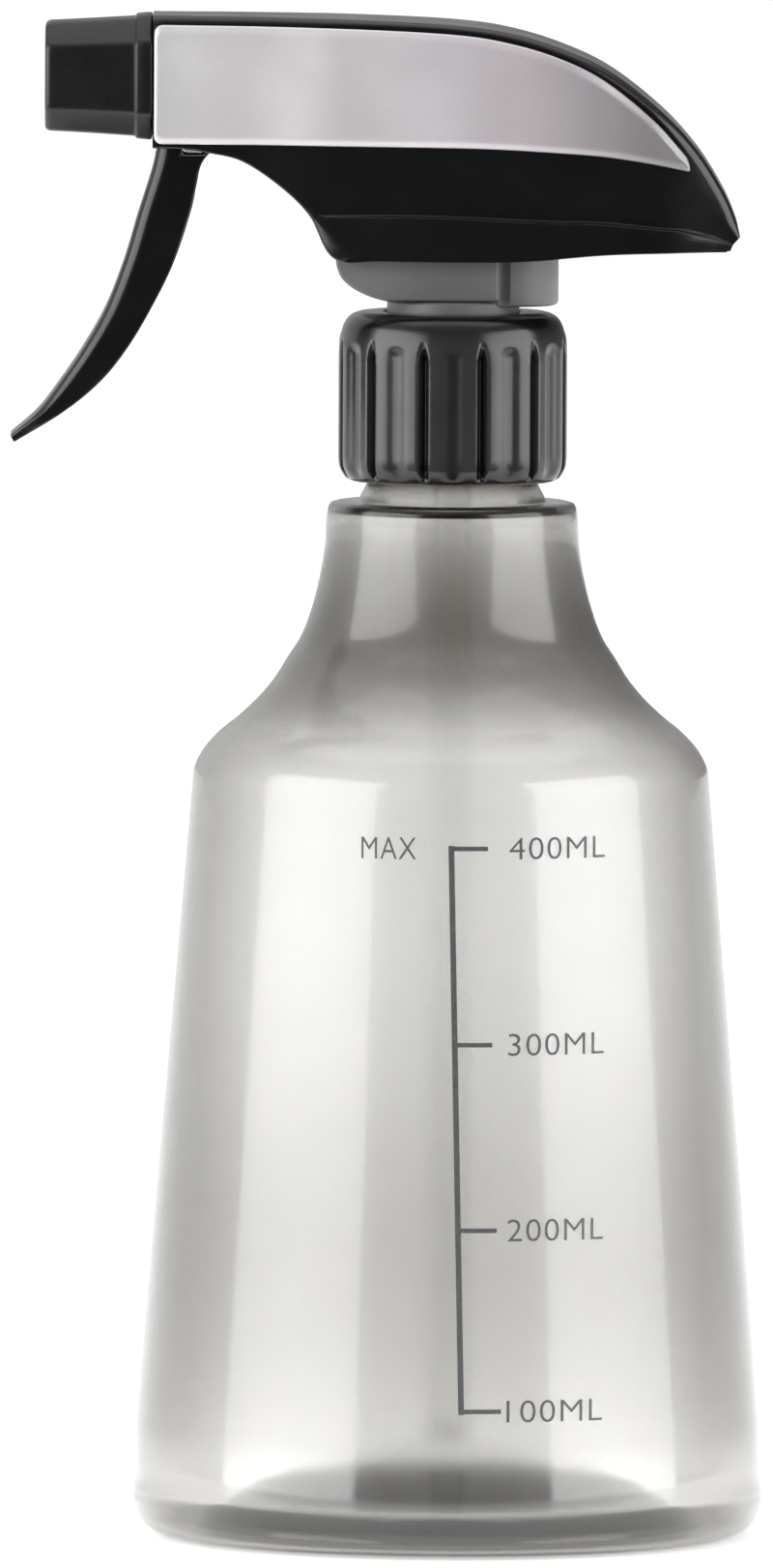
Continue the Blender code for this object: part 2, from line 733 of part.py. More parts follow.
boolean(
    trigger,
    box("pin_slot", (PIVOT_X - 1.7, -8.0, slot_z - 2.1), (PIVOT_X + 1.7, 8.0, slot_z + 2.1), tools, trigger_pivot),
    "DIFFERENCE",
)
finish(trigger, BLACK, 0.35)

# ---------------------------------------------------------------- shroud
HEAD_TOP = [
    (-40.0, 202.2), (-26.0, 202.1), (-12.0, 201.8), (0.0, 201.2), (7.3, 200.2), (14.4, 198.1), (20.9, 195.0), (27.6, 189.8),
    (32.3, 184.7), (35.7, 179.4), (37.4, 175.6), (38.0, 173.2),
]
HEAD_BOTTOM = [
    (-40.0, 184.6), (-36.0, 184.5), (-32.4, 184.0), (-28.0, 182.9), (-23.0, 179.6), (-19.1, 175.8), (-15.8, 170.2), (-9.0, 169.9),
    (8.0, 169.9), (20.0, 170.8), (30.0, 171.1), (36.2, 171.2),
]
HEAD_HALF = [(-40.0, 7.6), (-28.0, 8.4), (-14.0, 9.9), (2.0, 10.7), (14.0, 10.5), (26.0, 9.7), (39.0, 7.6)]
RIM_STANDS = 0.55  # the lower rim stands out below its ledge
RIM_DEPTH = [(-16.0, 5.2), (10.0, 4.6), (34.0, 2.7)]
TOP_CORNER = 1.3


def head_half(x):
    return value_at(HEAD_HALF, x)


def head_section(bottom, top):
    """A U section between the lower rim and the crown, wide as the head is at each point's x."""
    height = (top - bottom).length
    rim = min(value_at(RIM_DEPTH, bottom.x), 0.4 * height)
    stand = RIM_STANDS * value_at([(-36.0, 0.0), (-14.0, 1.0)], bottom.x)
    levels = [
        (0.0, stand), (rim / height, stand), ((rim + 0.7) / height, 0.0), (0.62, 0.0),
        (1.0 - TOP_CORNER / height, 0.0), (1.0 - 0.3 * TOP_CORNER / height, -0.3 * TOP_CORNER), (1.0, -TOP_CORNER),
    ]
    side = []
    for share, out in levels:
        point = bottom.lerp(top, share)
        side.append((point.x, head_half(point.x) + out, point.y))
    left = [(x, -y, z) for x, y, z in side]
    return left + [(x, y, z) for x, y, z in reversed(side)]


stations = 21
tops = spline([(*p, 0) for p in HEAD_TOP], stations)
bottoms = spline([(*p, 0) for p in HEAD_BOTTOM], stations)
shroud = loft("shroud", [head_section(b, t) for b, t in zip(bottoms, tops)], parts, around=False)
skin = shroud.modifiers.new("Wall", "SOLIDIFY")
skin.thickness = SHROUD_WALL * MM
skin.offset = -1.0
finish(shroud, BLACK, 0.3)

# ---------------------------------------------------------------- side panels
PANEL_TOP_EDGE = [
    (-39.8, 201.0), (-26.0, 200.9), (-12.0, 200.6), (0.0, 200.0), (6.8, 199.0), (13.7, 197.0), (20.0, 193.9), (26.6, 188.6), (31.0, 183.7),
]
PANEL_LOW_EDGE = [
    (-39.8, 185.2), (-26.0, 185.2), (-12.0, 185.1), (0.0, 185.0), (6.8, 184.8), (13.7, 184.4), (20.0, 183.9), (26.5, 182.9), (31.4, 181.9),
]
panel_tops = spline([(*p, 0) for p in PANEL_TOP_EDGE], 19)
panel_lows = spline([(*p, 0) for p in PANEL_LOW_EDGE], 19)
for name, side in (("side_panel_left", -1), ("side_panel_right", 1)):
    rows = []
    for low, top in zip(panel_lows, panel_tops):
        rows.append(
            [
                (p.x, side * (head_half(p.x) + PANEL_GAP), p.y)
                for p in (low.lerp(top, share) for share in (0.0, 0.5, 1.0))
            ]
        )
    panel = loft(name, rows, parts, around=False)
    thick = panel.modifiers.new("Plate", "SOLIDIFY")
    thick.thickness = PANEL_THICK * MM
    thick.offset = 0.0
    # The plate grows to the outside only, whichever way its faces were wound.
    outward = sum((face.normal.y for face in panel.data.polygons), 0.0) * side
    thick.offset = 1.0 if outward > 0 else -1.0
    finish(panel, SILVER, 0.3, metallic=0.7)
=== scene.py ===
import math

import bmesh
import bpy
from mathutils import Matrix, Vector


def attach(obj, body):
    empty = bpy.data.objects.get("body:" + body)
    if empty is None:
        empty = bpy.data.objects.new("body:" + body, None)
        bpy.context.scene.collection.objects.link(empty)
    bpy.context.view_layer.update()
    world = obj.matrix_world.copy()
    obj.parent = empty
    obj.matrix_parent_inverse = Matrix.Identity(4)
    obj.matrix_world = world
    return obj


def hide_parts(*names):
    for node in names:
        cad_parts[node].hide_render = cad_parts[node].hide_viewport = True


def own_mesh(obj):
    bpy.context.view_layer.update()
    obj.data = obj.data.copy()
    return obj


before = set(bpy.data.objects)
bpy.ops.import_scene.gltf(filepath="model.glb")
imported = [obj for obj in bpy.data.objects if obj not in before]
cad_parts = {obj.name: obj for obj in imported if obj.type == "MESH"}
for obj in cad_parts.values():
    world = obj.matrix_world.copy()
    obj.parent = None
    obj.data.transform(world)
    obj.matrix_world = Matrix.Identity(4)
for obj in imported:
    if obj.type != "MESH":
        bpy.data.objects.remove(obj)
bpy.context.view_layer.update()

# Lengths in the tables are millimetres. X is counted from the bottle's axis,
# which stands at AXIS_X in the row frame, and Z from the standing plane.
MM = 0.001
AXIS_X = 8.275
ROUND, SMALL, TINY = 160, 64, 40

BASE_R, BASE_R_Z = 42.15, 6.8
SHOULDER_R, SHOULDER_Z = 34.3, 101.3
BOTTLE_WALL = 0.9
NECK_R, NECK_BORE_R, NECK_TOP_Z, LEDGE_Z = 10.85, 9.3, 157.5, 137.5
PUSH_UP = 8.4
THREAD_PITCH, THREAD_CREST, THREAD_START_Z, THREAD_TURNS = 3.175, 1.05, 146.0, 1.75
COLLAR_BORE_R, COLLAR_LOBES = 12.5, 12
HUB_R, STEM_BORE_R = 8.8, 5.6
CYLINDER_Z, CYLINDER_BORE_R, CYLINDER_R = 186.0, 4.3, 5.5
DISCHARGE_Z, DISCHARGE_BORE_R, NOZZLE_BORE_R, NOZZLE_TUBE_R = 193.9, 1.2, 2.3, 3.6
NOZZLE_TUBE_TIP, VALVE_SEAT_X = -46.0, -33.0
PIVOT_X, PIVOT_Z = -34.5, 196.2
CAP_BACK, CAP_FRONT = -40.35, -54.3

scene = bpy.context.scene
made = bpy.data.collections.new("looks")
scene.collection.children.link(made)


# ------------------------------------------------------------------ materials
class Nodes:
    """A short hand for building a node tree in object space."""

    def __init__(self, name):
        self.material = bpy.data.materials.new(name)
        self.material.use_nodes = True
        self.tree = self.material.node_tree
        self.shader = self.tree.nodes["Principled BSDF"]
        self.place = self.add("ShaderNodeTexCoord").outputs["Object"]

    def add(self, kind, **values):
        node = self.tree.nodes.new(kind)
        for key, value in values.items():
            setattr(node, key, value)
        return node

    def link(self, out, into):
        self.tree.links.new(out, into)

    def stretched(self, scale):
        node = self.add("ShaderNodeMapping")
        node.inputs["Scale"].default_value = scale
        self.link(self.place, node.inputs["Vector"])
        return node.outputs["Vector"]

    def noise(self, scale, detail=3.0, roughness=0.5, at=None):
        node = self.add("ShaderNodeTexNoise")
        node.inputs["Scale"].default_value = scale
        node.inputs["Detail"].default_value = detail
        node.inputs["Roughness"].default_value = roughness
        self.link(at or self.place, node.inputs["Vector"])
        return node.outputs["Fac"]

    def cells(self, scale, feature="F1"):
        node = self.add("ShaderNodeTexVoronoi", feature=feature)
        node.inputs["Scale"].default_value = scale
        self.link(self.place, node.inputs["Vector"])
        return node

    def ranged(self, value, low, high, start=0.3, end=0.7):
        node = self.add("ShaderNodeMapRange")
        node.inputs["From Min"].default_value = start
        node.inputs["From Max"].default_value = end
        node.inputs["To Min"].default_value = low
        node.inputs["To Max"].default_value = high
        self.link(value, node.inputs["Value"])
        return node.outputs["Result"]

    def mixed(self, factor, first, second):
        node = self.add("ShaderNodeMix", data_type="RGBA")
        for socket, value in ((node.inputs[6], first), (node.inputs[7], second)):
            if isinstance(value, tuple):
                socket.default_value = (*value, 1.0)
            else:
                self.link(value, socket)
        self.link(factor, node.inputs[0])
        return node.outputs[2]

    def multiplied(self, first, second, below=None):
        node = self.add("ShaderNodeMix", data_type="RGBA", blend_type="MULTIPLY")
        node.inputs[0].default_value = 1.0
        if below:
            test = self.add("ShaderNodeMath", operation="LESS_THAN")
            self.link(below[0], test.inputs[0])
            test.inputs[1].default_value = below[1]
            self.link(test.outputs[0], node.inputs[0])
        self.link(first, node.inputs[6])
        self.link(second, node.inputs[7])
        return node.outputs[2]

    def sum(self, first, second, share):
        node = self.add("ShaderNodeMath", operation="MULTIPLY_ADD")
        self.link(second, node.inputs[0])
        node.inputs[1].default_value = share
        self.link(first, node.inputs[2])
        return node.outputs[0]

    def bump(self, height, depth, strength=1.0):
        node = self.add("ShaderNodeBump")
        node.inputs["Strength"].default_value = strength
        node.inputs["Distance"].default_value = depth
        self.link(height, node.inputs["Height"])
        self.link(node.outputs["Normal"], self.shader.inputs["Normal"])

    def reach(self):
        """Distance from the bottle's axis."""
        centred = self.add("ShaderNodeVectorMath", operation="SUBTRACT")
        centred.inputs[1].default_value = (AXIS_X * MM, 0.0, 0.0)
        self.link(self.place, centred.inputs[0])
        flat = self.add("ShaderNodeVectorMath", operation="MULTIPLY")
        flat.inputs[1].default_value = (1.0, 1.0, 0.0)
        self.link(centred.outputs[0], flat.inputs[0])
        length = self.add("ShaderNodeVectorMath", operation="LENGTH")
        self.link(flat.outputs[0], length.inputs[0])
        return length.outputs["Value"]

    def worn(self, soft=0.53, hard=0.64):
        """Brighter on outside edges."""
        edge = self.add("ShaderNodeNewGeometry").outputs["Pointiness"]
        spread = self.ranged(edge, 0.0, 1.0, soft, hard)
        patchy = self.ranged(self.noise(420.0, 4.0), 0.15, 1.0, 0.35, 0.65)
        node = self.add("ShaderNodeMath", operation="MULTIPLY")
        self.link(spread, node.inputs[0])
        self.link(patchy, node.inputs[1])
        return node.outputs[0]


def tone(colour, by):
    return tuple(min(1.0, c * by) for c in colour)


def moulded(name, colour, roughness, grain=5200.0, depth=9e-6, spread=0.12, wear=0.35, spec=0.5, metallic=0.0, lit_crowns=None):
    """Moulded plastic or rubber: a fine grain, faint flow mottling, a little polish variation, rubbed edges and, where
    asked, a painted highlight on the grip's crowns.
    """
    n = Nodes(name)
    mottle = n.noise(70.0, 4.0)
    base = n.mixed(n.ranged(mottle, 0.0, 1.0), tone(colour, 1.0 - spread), tone(colour, 1.0 + spread))
    if wear:
        light = tuple(c + (0.22 - 0.22 * c) * 0.5 for c in colour)
        edge = n.add("ShaderNodeMath", operation="MULTIPLY")
        n.link(n.worn(), edge.inputs[0])
        edge.inputs[1].default_value = wear
        base = n.mixed(edge.outputs[0], base, light)
    if lit_crowns:
        # painted highlight: the grip's crowns are lighter than its grooves, a painted sheen standing in for reflections
        # on the lobes
        crown_sheen = n.add("ShaderNodeMath", operation="MULTIPLY")
        n.link(n.ranged(n.reach(), 0.0, 1.0, lit_crowns[0], lit_crowns[1]), crown_sheen.inputs[0])
        n.link(n.ranged(n.noise(160.0, 3.0), 0.88, 1.0, 0.35, 0.65), crown_sheen.inputs[1])
        base = n.mixed(crown_sheen.outputs[0], base, (0.030, 0.029, 0.031))
    n.link(base, n.shader.inputs["Base Color"])
    polish = n.sum(n.noise(130.0, 5.0, 0.6), n.noise(1900.0, 2.0), 0.35)
    n.link(n.ranged(polish, roughness * 0.82, roughness * 1.22, 0.45, 0.9), n.shader.inputs["Roughness"])
    n.shader.inputs["Specular IOR Level"].default_value = spec
    n.shader.inputs["Metallic"].default_value = metallic
    height = n.sum(n.noise(grain, 2.0, 0.55), n.noise(grain / 7.0, 2.0), 0.8)
    n.bump(height, depth)
    return n.material


def silver_plate(name):
    """Satin silver lacquer: fine flakes, a soft sheen and rubbed edges."""
    n = Nodes(name)
    flakes = n.cells(5200.0)
    flake = n.ranged(flakes.outputs["Distance"], 0.0, 1.0, 0.0, 0.9)
    cool, warm = (0.70, 0.692, 0.708), (0.78, 0.768, 0.778)
    base = n.mixed(flake, warm, cool)
    cloud = n.ranged(n.noise(34.0, 3.0), 0.0, 0.35)
    base = n.mixed(cloud, base, (0.70, 0.672, 0.684))
    # painted shade: the plate darkens towards the tail, where it turns away from the light
    split = n.add("ShaderNodeSeparateXYZ")
    n.link(n.place, split.inputs[0])
    ramp = n.add("ShaderNodeValToRGB")
    ramp.color_ramp.interpolation = "B_SPLINE"
    stops = ((0.0, (1.0, 1.0, 1.0)), (0.45, (1.0, 0.975, 0.99)), (0.68, (0.93, 0.86, 0.895)), (0.86, (0.50, 0.485, 0.49)), (1.0, (0.33, 0.33, 0.33)))
    while len(ramp.color_ramp.elements) < len(stops):
        ramp.color_ramp.elements.new(0.5)
    for element, (place, shade) in zip(ramp.color_ramp.elements, stops):
        element.position = place
        element.color = (*shade, 1.0)
    n.link(n.ranged(split.outputs["X"], 0.0, 1.0, -0.0315, 0.0397), ramp.inputs["Fac"])
    base = n.multiplied(base, ramp.outputs["Color"])
    edge = n.add("ShaderNodeMath", operation="MULTIPLY")
    n.link(n.worn(0.52, 0.58), edge.inputs[0])
    edge.inputs[1].default_value = 0.7
    base = n.mixed(edge.outputs[0], base, (0.72, 0.72, 0.725))
    n.link(base, n.shader.inputs["Base Color"])
    polish = n.sum(n.noise(90.0, 5.0, 0.6), n.noise(2600.0, 2.0), 0.3)
    n.link(n.ranged(polish, 0.30, 0.42, 0.45, 0.85), n.shader.inputs["Roughness"])
    n.shader.inputs["Metallic"].default_value = 0.45
    n.shader.inputs["Coat Weight"].default_value = 0.25
    n.shader.inputs["Coat Roughness"].default_value = 0.22
    height = n.sum(n.noise(6500.0, 2.0), n.noise(900.0, 2.0), 1.2)
    n.bump(height, 6e-6)
    return n.material


def clear_plastic(name, colour, roughness, ior, ripple, coat=0.0, depth=4.0e-5, shade_bands=()):
    """See-through plastic: hazy inside, glossy outside, with faint flow lines up the wall."""
    n = Nodes(name)
    cloudy = n.noise(26.0, 4.0)
    base = n.mixed(n.ranged(cloudy, 0.0, 1.0), tone(colour, 0.985), tone(colour, 1.01))
    if shade_bands:
        # painted shade: the tint is darkened band by band with height, at the base, lower body, shoulder and neck, with
        # a painted shadow line under the collar
        split = n.add("ShaderNodeSeparateXYZ")
        n.link(n.place, split.inputs[0])
        ramp = n.add("ShaderNodeValToRGB")
        ramp.color_ramp.interpolation = "B_SPLINE"
        while len(ramp.color_ramp.elements) < len(shade_bands):
            ramp.color_ramp.elements.new(0.5)
        for element, (height, shade) in zip(ramp.color_ramp.elements, shade_bands):
            element.position = height / 160.0
            element.color = (*shade, 1.0)
        n.link(n.ranged(split.outputs["Z"], 0.0, 1.0, 0.0, 0.160), ramp.inputs["Fac"])
        base = n.multiplied(base, ramp.outputs["Color"])
        # more plastic lies in the way where the wall turns away; this darkening of the turned-away sides is partly
        # painted shade
        slant = n.add("ShaderNodeLayerWeight")
        slant.inputs["Blend"].default_value = 0.35
        turned = n.add("ShaderNodeMath", operation="MULTIPLY")
        n.link(n.ranged(slant.outputs["Facing"], 0.0, 1.0, 0.12, 0.62), turned.inputs[0])
        walls = n.add("ShaderNodeMath", operation="MAXIMUM")
        n.link(n.ranged(split.outputs["Z"], 0.0, 1.0, 0.0105, 0.0135), walls.inputs[0])
        n.link(n.ranged(n.reach(), 0.0, 1.0, 0.0345, 0.0370), walls.inputs[1])
        n.link(walls.outputs[0], turned.inputs[1])
        base = n.multiplied(base, n.mixed(turned.outputs[0], (1.0, 1.0, 1.0), (0.65, 0.64, 0.62)))
        # painted shade: the middle of the base is tinted near black, and a ring inside the standing ring darker, for
        # the dark seen through the push-up
        away = n.reach()
        base_dark_patch = n.mixed(n.ranged(away, 0.0, 1.0, 0.0256, 0.0272), (0.02, 0.019, 0.018), (1.0, 1.0, 1.0))
        base = n.multiplied(base, base_dark_patch, below=(split.outputs["Z"], 0.012))
        ring = n.add("ShaderNodeMath", operation="MULTIPLY")
        n.link(n.ranged(away, 0.0, 1.0, 0.0298, 0.0308), ring.inputs[0])
        n.link(n.ranged(away, 1.0, 0.0, 0.0330, 0.0342), ring.inputs[1])
        base = n.multiplied(base, n.mixed(ring.outputs[0], (1.0, 1.0, 1.0), (0.16, 0.157, 0.155)), below=(split.outputs["Z"], 0.012))
    n.link(base, n.shader.inputs["Base Color"])
    smear = n.sum(n.noise(55.0, 5.0, 0.65), n.noise(1.0, 2.0, 0.5, n.stretched((90.0, 90.0, 8.0))), 0.5)
    haze = n.ranged(smear, roughness * 0.88, roughness * 1.12, 0.5, 1.0)
    if shade_bands:
        # the base is clearer than the wall
        clearer = n.add("ShaderNodeMath", operation="MULTIPLY")
        n.link(haze, clearer.inputs[0])
        n.link(n.ranged(split.outputs["Z"], 0.35, 1.0, 0.0095, 0.0150), clearer.inputs[1])
        haze = clearer.outputs[0]
    n.link(haze, n.shader.inputs["Roughness"])
    n.shader.inputs["Transmission Weight"].default_value = 1.0
    n.shader.inputs["IOR"].default_value = ior
    n.shader.inputs["Coat Weight"].default_value = coat
    n.shader.inputs["Coat Roughness"].default_value = 0.07
    lines = n.noise(1.0, 2.0, 0.5, n.stretched((70.0, 70.0, 9.0)))
    height = n.sum(lines, n.noise(2600.0, 2.0), 0.003)
    n.bump(height, depth, ripple)
    return n.material


def bright_metal(name):
    n = Nodes(name)
    drawn = n.noise(900.0, 4.0, 0.6)
    base = n.mixed(n.ranged(drawn, 0.0, 1.0), (0.50, 0.50, 0.515), (0.66, 0.655, 0.65))
    n.link(base, n.shader.inputs["Base Color"])
    n.link(n.ranged(n.noise(1500.0, 3.0), 0.16, 0.30), n.shader.inputs["Roughness"])
    n.shader.inputs["Metallic"].default_value = 1.0
    n.bump(n.noise(7000.0, 2.0), 3e-6)
    return n.material


def printed_ink(name):
    n = Nodes(name)
    dust = n.noise(5200.0, 3.0, 0.7)
    base = n.mixed(n.ranged(dust, 0.0, 1.0, 0.42, 0.72), (0.045, 0.045, 0.048), (0.12, 0.12, 0.125))
    n.link(base, n.shader.inputs["Base Color"])
    n.link(n.ranged(n.noise(900.0, 3.0), 0.35, 0.6), n.shader.inputs["Roughness"])
    n.bump(dust, 5e-6)
    return n.material


BLACK = moulded("black_moulded", (0.0042, 0.0042, 0.0046), 0.22, spec=0.5, wear=0.3)
# the collar's grip crowns carry a painted highlight
COLLAR_BLACK = moulded("collar_black", (0.0045, 0.0045, 0.0049), 0.19, wear=0.06, spec=0.5, lit_crowns=(0.0145, 0.0153))
BLACK_SATIN = moulded("black_satin", (0.005, 0.005, 0.0054), 0.32, grain=4200.0, depth=1.1e-5, wear=0.25)
GREY_BLACK = moulded("grey_black_moulded", (0.140, 0.139, 0.142), 0.46, grain=3600.0, depth=1.5e-5, wear=0.2)
RUBBER = moulded("seal_rubber", (0.012, 0.012, 0.012), 0.62, grain=3000.0, depth=1.6e-5, wear=0.15)
GASKET = moulded("gasket_foam", (0.55, 0.55, 0.54), 0.75, grain=2200.0, depth=4e-5, spread=0.05, wear=0.0)
NATURAL = moulded("natural_plastic", (0.74, 0.735, 0.70), 0.38, spread=0.03, wear=0.0)
CUP = moulded("cup_plastic", (0.66, 0.66, 0.64), 0.52, spread=0.04, wear=0.0)
SILVER = silver_plate("silver_plate")
CLEAR = (1.0, 1.0, 1.0)


def grey(by):
    """A grey for the painted shade bands, a little warmer the darker it is."""
    return (by, by - 0.012 * (1.0 - by), by - 0.05 * (1.0 - by))


PET = clear_plastic(
    "bottle_plastic", (0.785, 0.781, 0.774), 0.24, 1.42, 0.4, coat=0.35,
    # painted shade bands up the bottle; the dark step at 139.9 to 141 mm is a painted shadow under the collar
    shade_bands=(
        (0.0, grey(0.62)), (1.6, grey(0.80)), (3.4, grey(0.90)), (5.2, grey(0.95)), (7.2, grey(0.95)), (13.0, grey(0.88)), (20.0, grey(0.84)),
        (34.0, grey(0.77)), (46.0, grey(0.81)), (60.0, grey(0.89)), (78.0, grey(0.98)), (95.0, CLEAR), (105.5, CLEAR), (107.0, CLEAR), (109.0, grey(0.82)),
        (111.5, grey(0.60)), (115.0, grey(0.53)), (119.0, grey(0.43)), (122.0, grey(0.44)), (126.0, grey(0.53)), (131.0, grey(0.64)), (135.0, grey(0.86)),
        (138.0, grey(1.0)), (139.0, grey(0.9)), (139.9, grey(0.22)), (141.0, grey(0.22)), (142.0, grey(0.75)), (158.0, grey(0.9)),
    ),
)
TUBE = clear_plastic("tube_plastic", (0.95, 0.95, 0.94), 0.25, 1.35, 0.3)
STEEL = bright_metal("spring_steel")
INK = printed_ink("graduation_ink")


# ------------------------------------------------------------------ shapes
def new_object(name, mesh):
    obj = bpy.data.objects.new(name, mesh)
    made.objects.link(obj)
    return obj


def from_rows(name, rows, around=True, along=False, fill=False):
    """Quads between rows of points in millimetres. A row of one point makes a fan."""
    shape = bmesh.new()
    grid = [[shape.verts.new(Vector(p) * MM) for p in row] for row in rows]
    pairs = [(grid[i], grid[i + 1]) for i in range(len(grid) - 1)]
    if along:
        pairs.append((grid[-1], grid[0]))
    for a, b in pairs:
        count = max(len(a), len(b))
        for j in range(count if around else count - 1):
            k = (j + 1) % count
            corners = [a[j % len(a)], a[k % len(a)], b[k % len(b)], b[j % len(b)]]
            kept = [c for i, c in enumerate(corners) if c not in corners[:i]]
            if len(kept) > 2:
                shape.faces.new(kept)
    if fill:
        bmesh.ops.holes_fill(shape, edges=[e for e in shape.edges if e.is_boundary])
    bmesh.ops.recalc_face_normals(shape, faces=shape.faces)
    mesh = bpy.data.meshes.new(name)
    shape.to_mesh(mesh)
    shape.free()
    return new_object(name, mesh)


def lathe(name, profile, steps=SMALL, closed=False, along="Z", at=(0.0, 0.0, 0.0), bend=None):
    """Turns (radius, height) points; bend(r, a, angle) gives the radius at an angle."""
    rows = []
    for r, a in profile:
        row = []
        for j in range(steps if r > 1e-6 else 1):
            angle = 2 * math.pi * j / steps
            reach = bend(r, a, angle) if bend and r > 1e-6 else r
            u, v = reach * math.cos(angle), reach * math.sin(angle)
            if along == "Z":
                row.append((at[0] + u, at[1] + v, at[2] + a))
            elif along == "Y":
                row.append((at[0] + u, at[1] + a, at[2] + v))
            else:
                row.append((at[0] + a, at[1] + u, at[2] + v))
        rows.append(row)
    return from_rows(name, rows, along=closed)


def rod(name, radius, low, high, steps=SMALL, along="Z", at=(0.0, 0.0, 0.0)):
    return lathe(name, [(0.0, high), (radius, high), (radius, low), (0.0, low)], steps, along=along, at=at)


def box(name, low, high):
    a, b = low, high
    return from_rows(
        name,
        [
            [(a[0], a[1], z), (b[0], a[1], z), (b[0], b[1], z), (a[0], b[1], z)]
            for z in (a[2], b[2])
        ],
        fill=True,
    )


def evaluated(obj):
    bpy.context.view_layer.update()
    graph = bpy.context.evaluated_depsgraph_get()
    mesh = bpy.data.meshes.new_from_object(obj.evaluated_get(graph))
    mesh.transform(obj.matrix_world)
    return mesh


def cut(target, tool, operation="DIFFERENCE", solver="MANIFOLD"):
    """Applies one Boolean straight away and drops the tool."""
    step = target.modifiers.new("cut", "BOOLEAN")
    step.operation, step.object, step.solver = operation, tool, solver
    mesh = evaluated(target)
    target.modifiers.clear()
    target.data = mesh
    target.matrix_world = Matrix.Identity(4)
    bpy.data.objects.remove(tool, do_unlink=True)
    return target


def applied(obj, kind, **settings):
    step = obj.modifiers.new(kind.title(), kind)
    for key, value in settings.items():
        setattr(step, key, value)
    mesh = evaluated(obj)
    obj.modifiers.clear()
    obj.data = mesh
    obj.matrix_world = Matrix.Identity(4)
    return obj


def rounded(obj, width, segments=3, angle=32.0):
    return applied(
        obj, "BEVEL", width=width * MM, segments=segments, limit_method="ANGLE",
        angle_limit=math.radians(angle), use_clamp_overlap=True, miter_outer="MITER_ARC",
    )


def finished(obj, material, body, slot, *nodes, sharp=38.0):
    """Cleans the mesh, moves it to the row frame and hands it to the frame."""
    mesh = evaluated(obj)
    obj.modifiers.clear()
    obj.data = mesh
    obj.matrix_world = Matrix.Identity(4)
    mesh.transform(Matrix.Translation((AXIS_X * MM, 0.0, 0.0)))
    tidy = bmesh.new()
    tidy.from_mesh(mesh)
    bmesh.ops.remove_doubles(tidy, verts=tidy.verts, dist=2e-7)
    bmesh.ops.dissolve_degenerate(tidy, edges=tidy.edges, dist=1e-7)
    loose = [v for v in tidy.verts if not v.link_faces]
    bmesh.ops.delete(tidy, geom=loose, context="VERTS")
    bmesh.ops.recalc_face_normals(tidy, faces=tidy.faces)
    tidy.to_mesh(mesh)
    tidy.free()
    mesh.materials.clear()
    mesh.materials.append(material)
    for polygon in mesh.polygons:
        polygon.material_index = 0
    mesh.shade_smooth()
    mesh.set_sharp_from_angle(angle=math.radians(sharp))
    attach(obj, body)
    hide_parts(*nodes)
    return obj


def refine(points, per=5, sharp=33.0, long=8.0):
    """More points on a smooth line through the given ones; corners over sharp and long straights stay."""
    rows = [Vector(p) for p in points]
    steps = [b - a for a, b in zip(rows, rows[1:])]
    lengths = [s.length for s in steps]
    ways = [s.normalized() for s in steps]

    def tangent(i, own):
        if i == 0 or i == len(rows) - 1:
            return ways[own]
        before, after = i - 1, i
        if ways[before].angle(ways[after]) > math.radians(sharp):
            return ways[own]
        if lengths[before] > long:
            return ways[before]
        if lengths[after] > long:
            return ways[after]
        return (ways[before] * lengths[after] + ways[after] * lengths[before]) / (lengths[before] + lengths[after])

    found = []
    for i, length in enumerate(lengths):
        p, q = rows[i], rows[i + 1]
        m, n = tangent(i, i) * length, tangent(i + 1, i) * length
        count = 1 if length > long else per
        for k in range(count):
            t = k / count
            found.append(
                p * (2 * t**3 - 3 * t * t + 1) + m * (t**3 - 2 * t * t + t) + q * (3 * t * t - 2 * t**3) + n * (t**3 - t * t)
            )
    found.append(rows[-1])
    return [tuple(p) for p in found]


def spline(points, count):
    rows = [Vector(p) for p in points]
    ends = [2 * rows[0] - rows[1], *rows, 2 * rows[-1] - rows[-2]]
    found = []
    for i in range(count):
        t = i / (count - 1) * (len(rows) - 1)
        k = min(int(t), len(rows) - 2)
        t -= k
        a, b, c, d = ends[k : k + 4]
        found.append(0.5 * (2 * b + (c - a) * t + (2 * a - 5 * b + 4 * c - d) * t * t + (3 * b - a - 3 * c + d) * t**3))
    return found


def value_at(table, x):
    if x <= table[0][0]:
        return table[0][1]
    for (x0, v0), (x1, v1) in zip(table, table[1:]):
        if x <= x1:
            t = (x - x0) / (x1 - x0)
            t = t * t * (3 - 2 * t)
            return v0 + (v1 - v0) * t
    return table[-1][1]


def inset(profile, depth_at):
    moved = []
    for i, (r, z) in enumerate(profile):
        before = profile[max(i - 1, 0)]
        after = profile[min(i + 1, len(profile) - 1)]
        d = Vector((after[0] - before[0], after[1] - before[1])).normalized()
        depth = depth_at(z)
        moved.append((max(r + d.y * depth, 0.0), z - d.x * depth))
    return moved


def step_between(low, high, x):
    t = min(1.0, max(0.0, (x - low) / (high - low)))
    return t * t * (3 - 2 * t)


def rows_between(a, b, spacing):
    """Points along a straight line, ends left out."""
    count = max(1, int((Vector(b) - Vector(a)).length / spacing))
    return [tuple(Vector(a).lerp(Vector(b), i / count)) for i in range(1, count)]


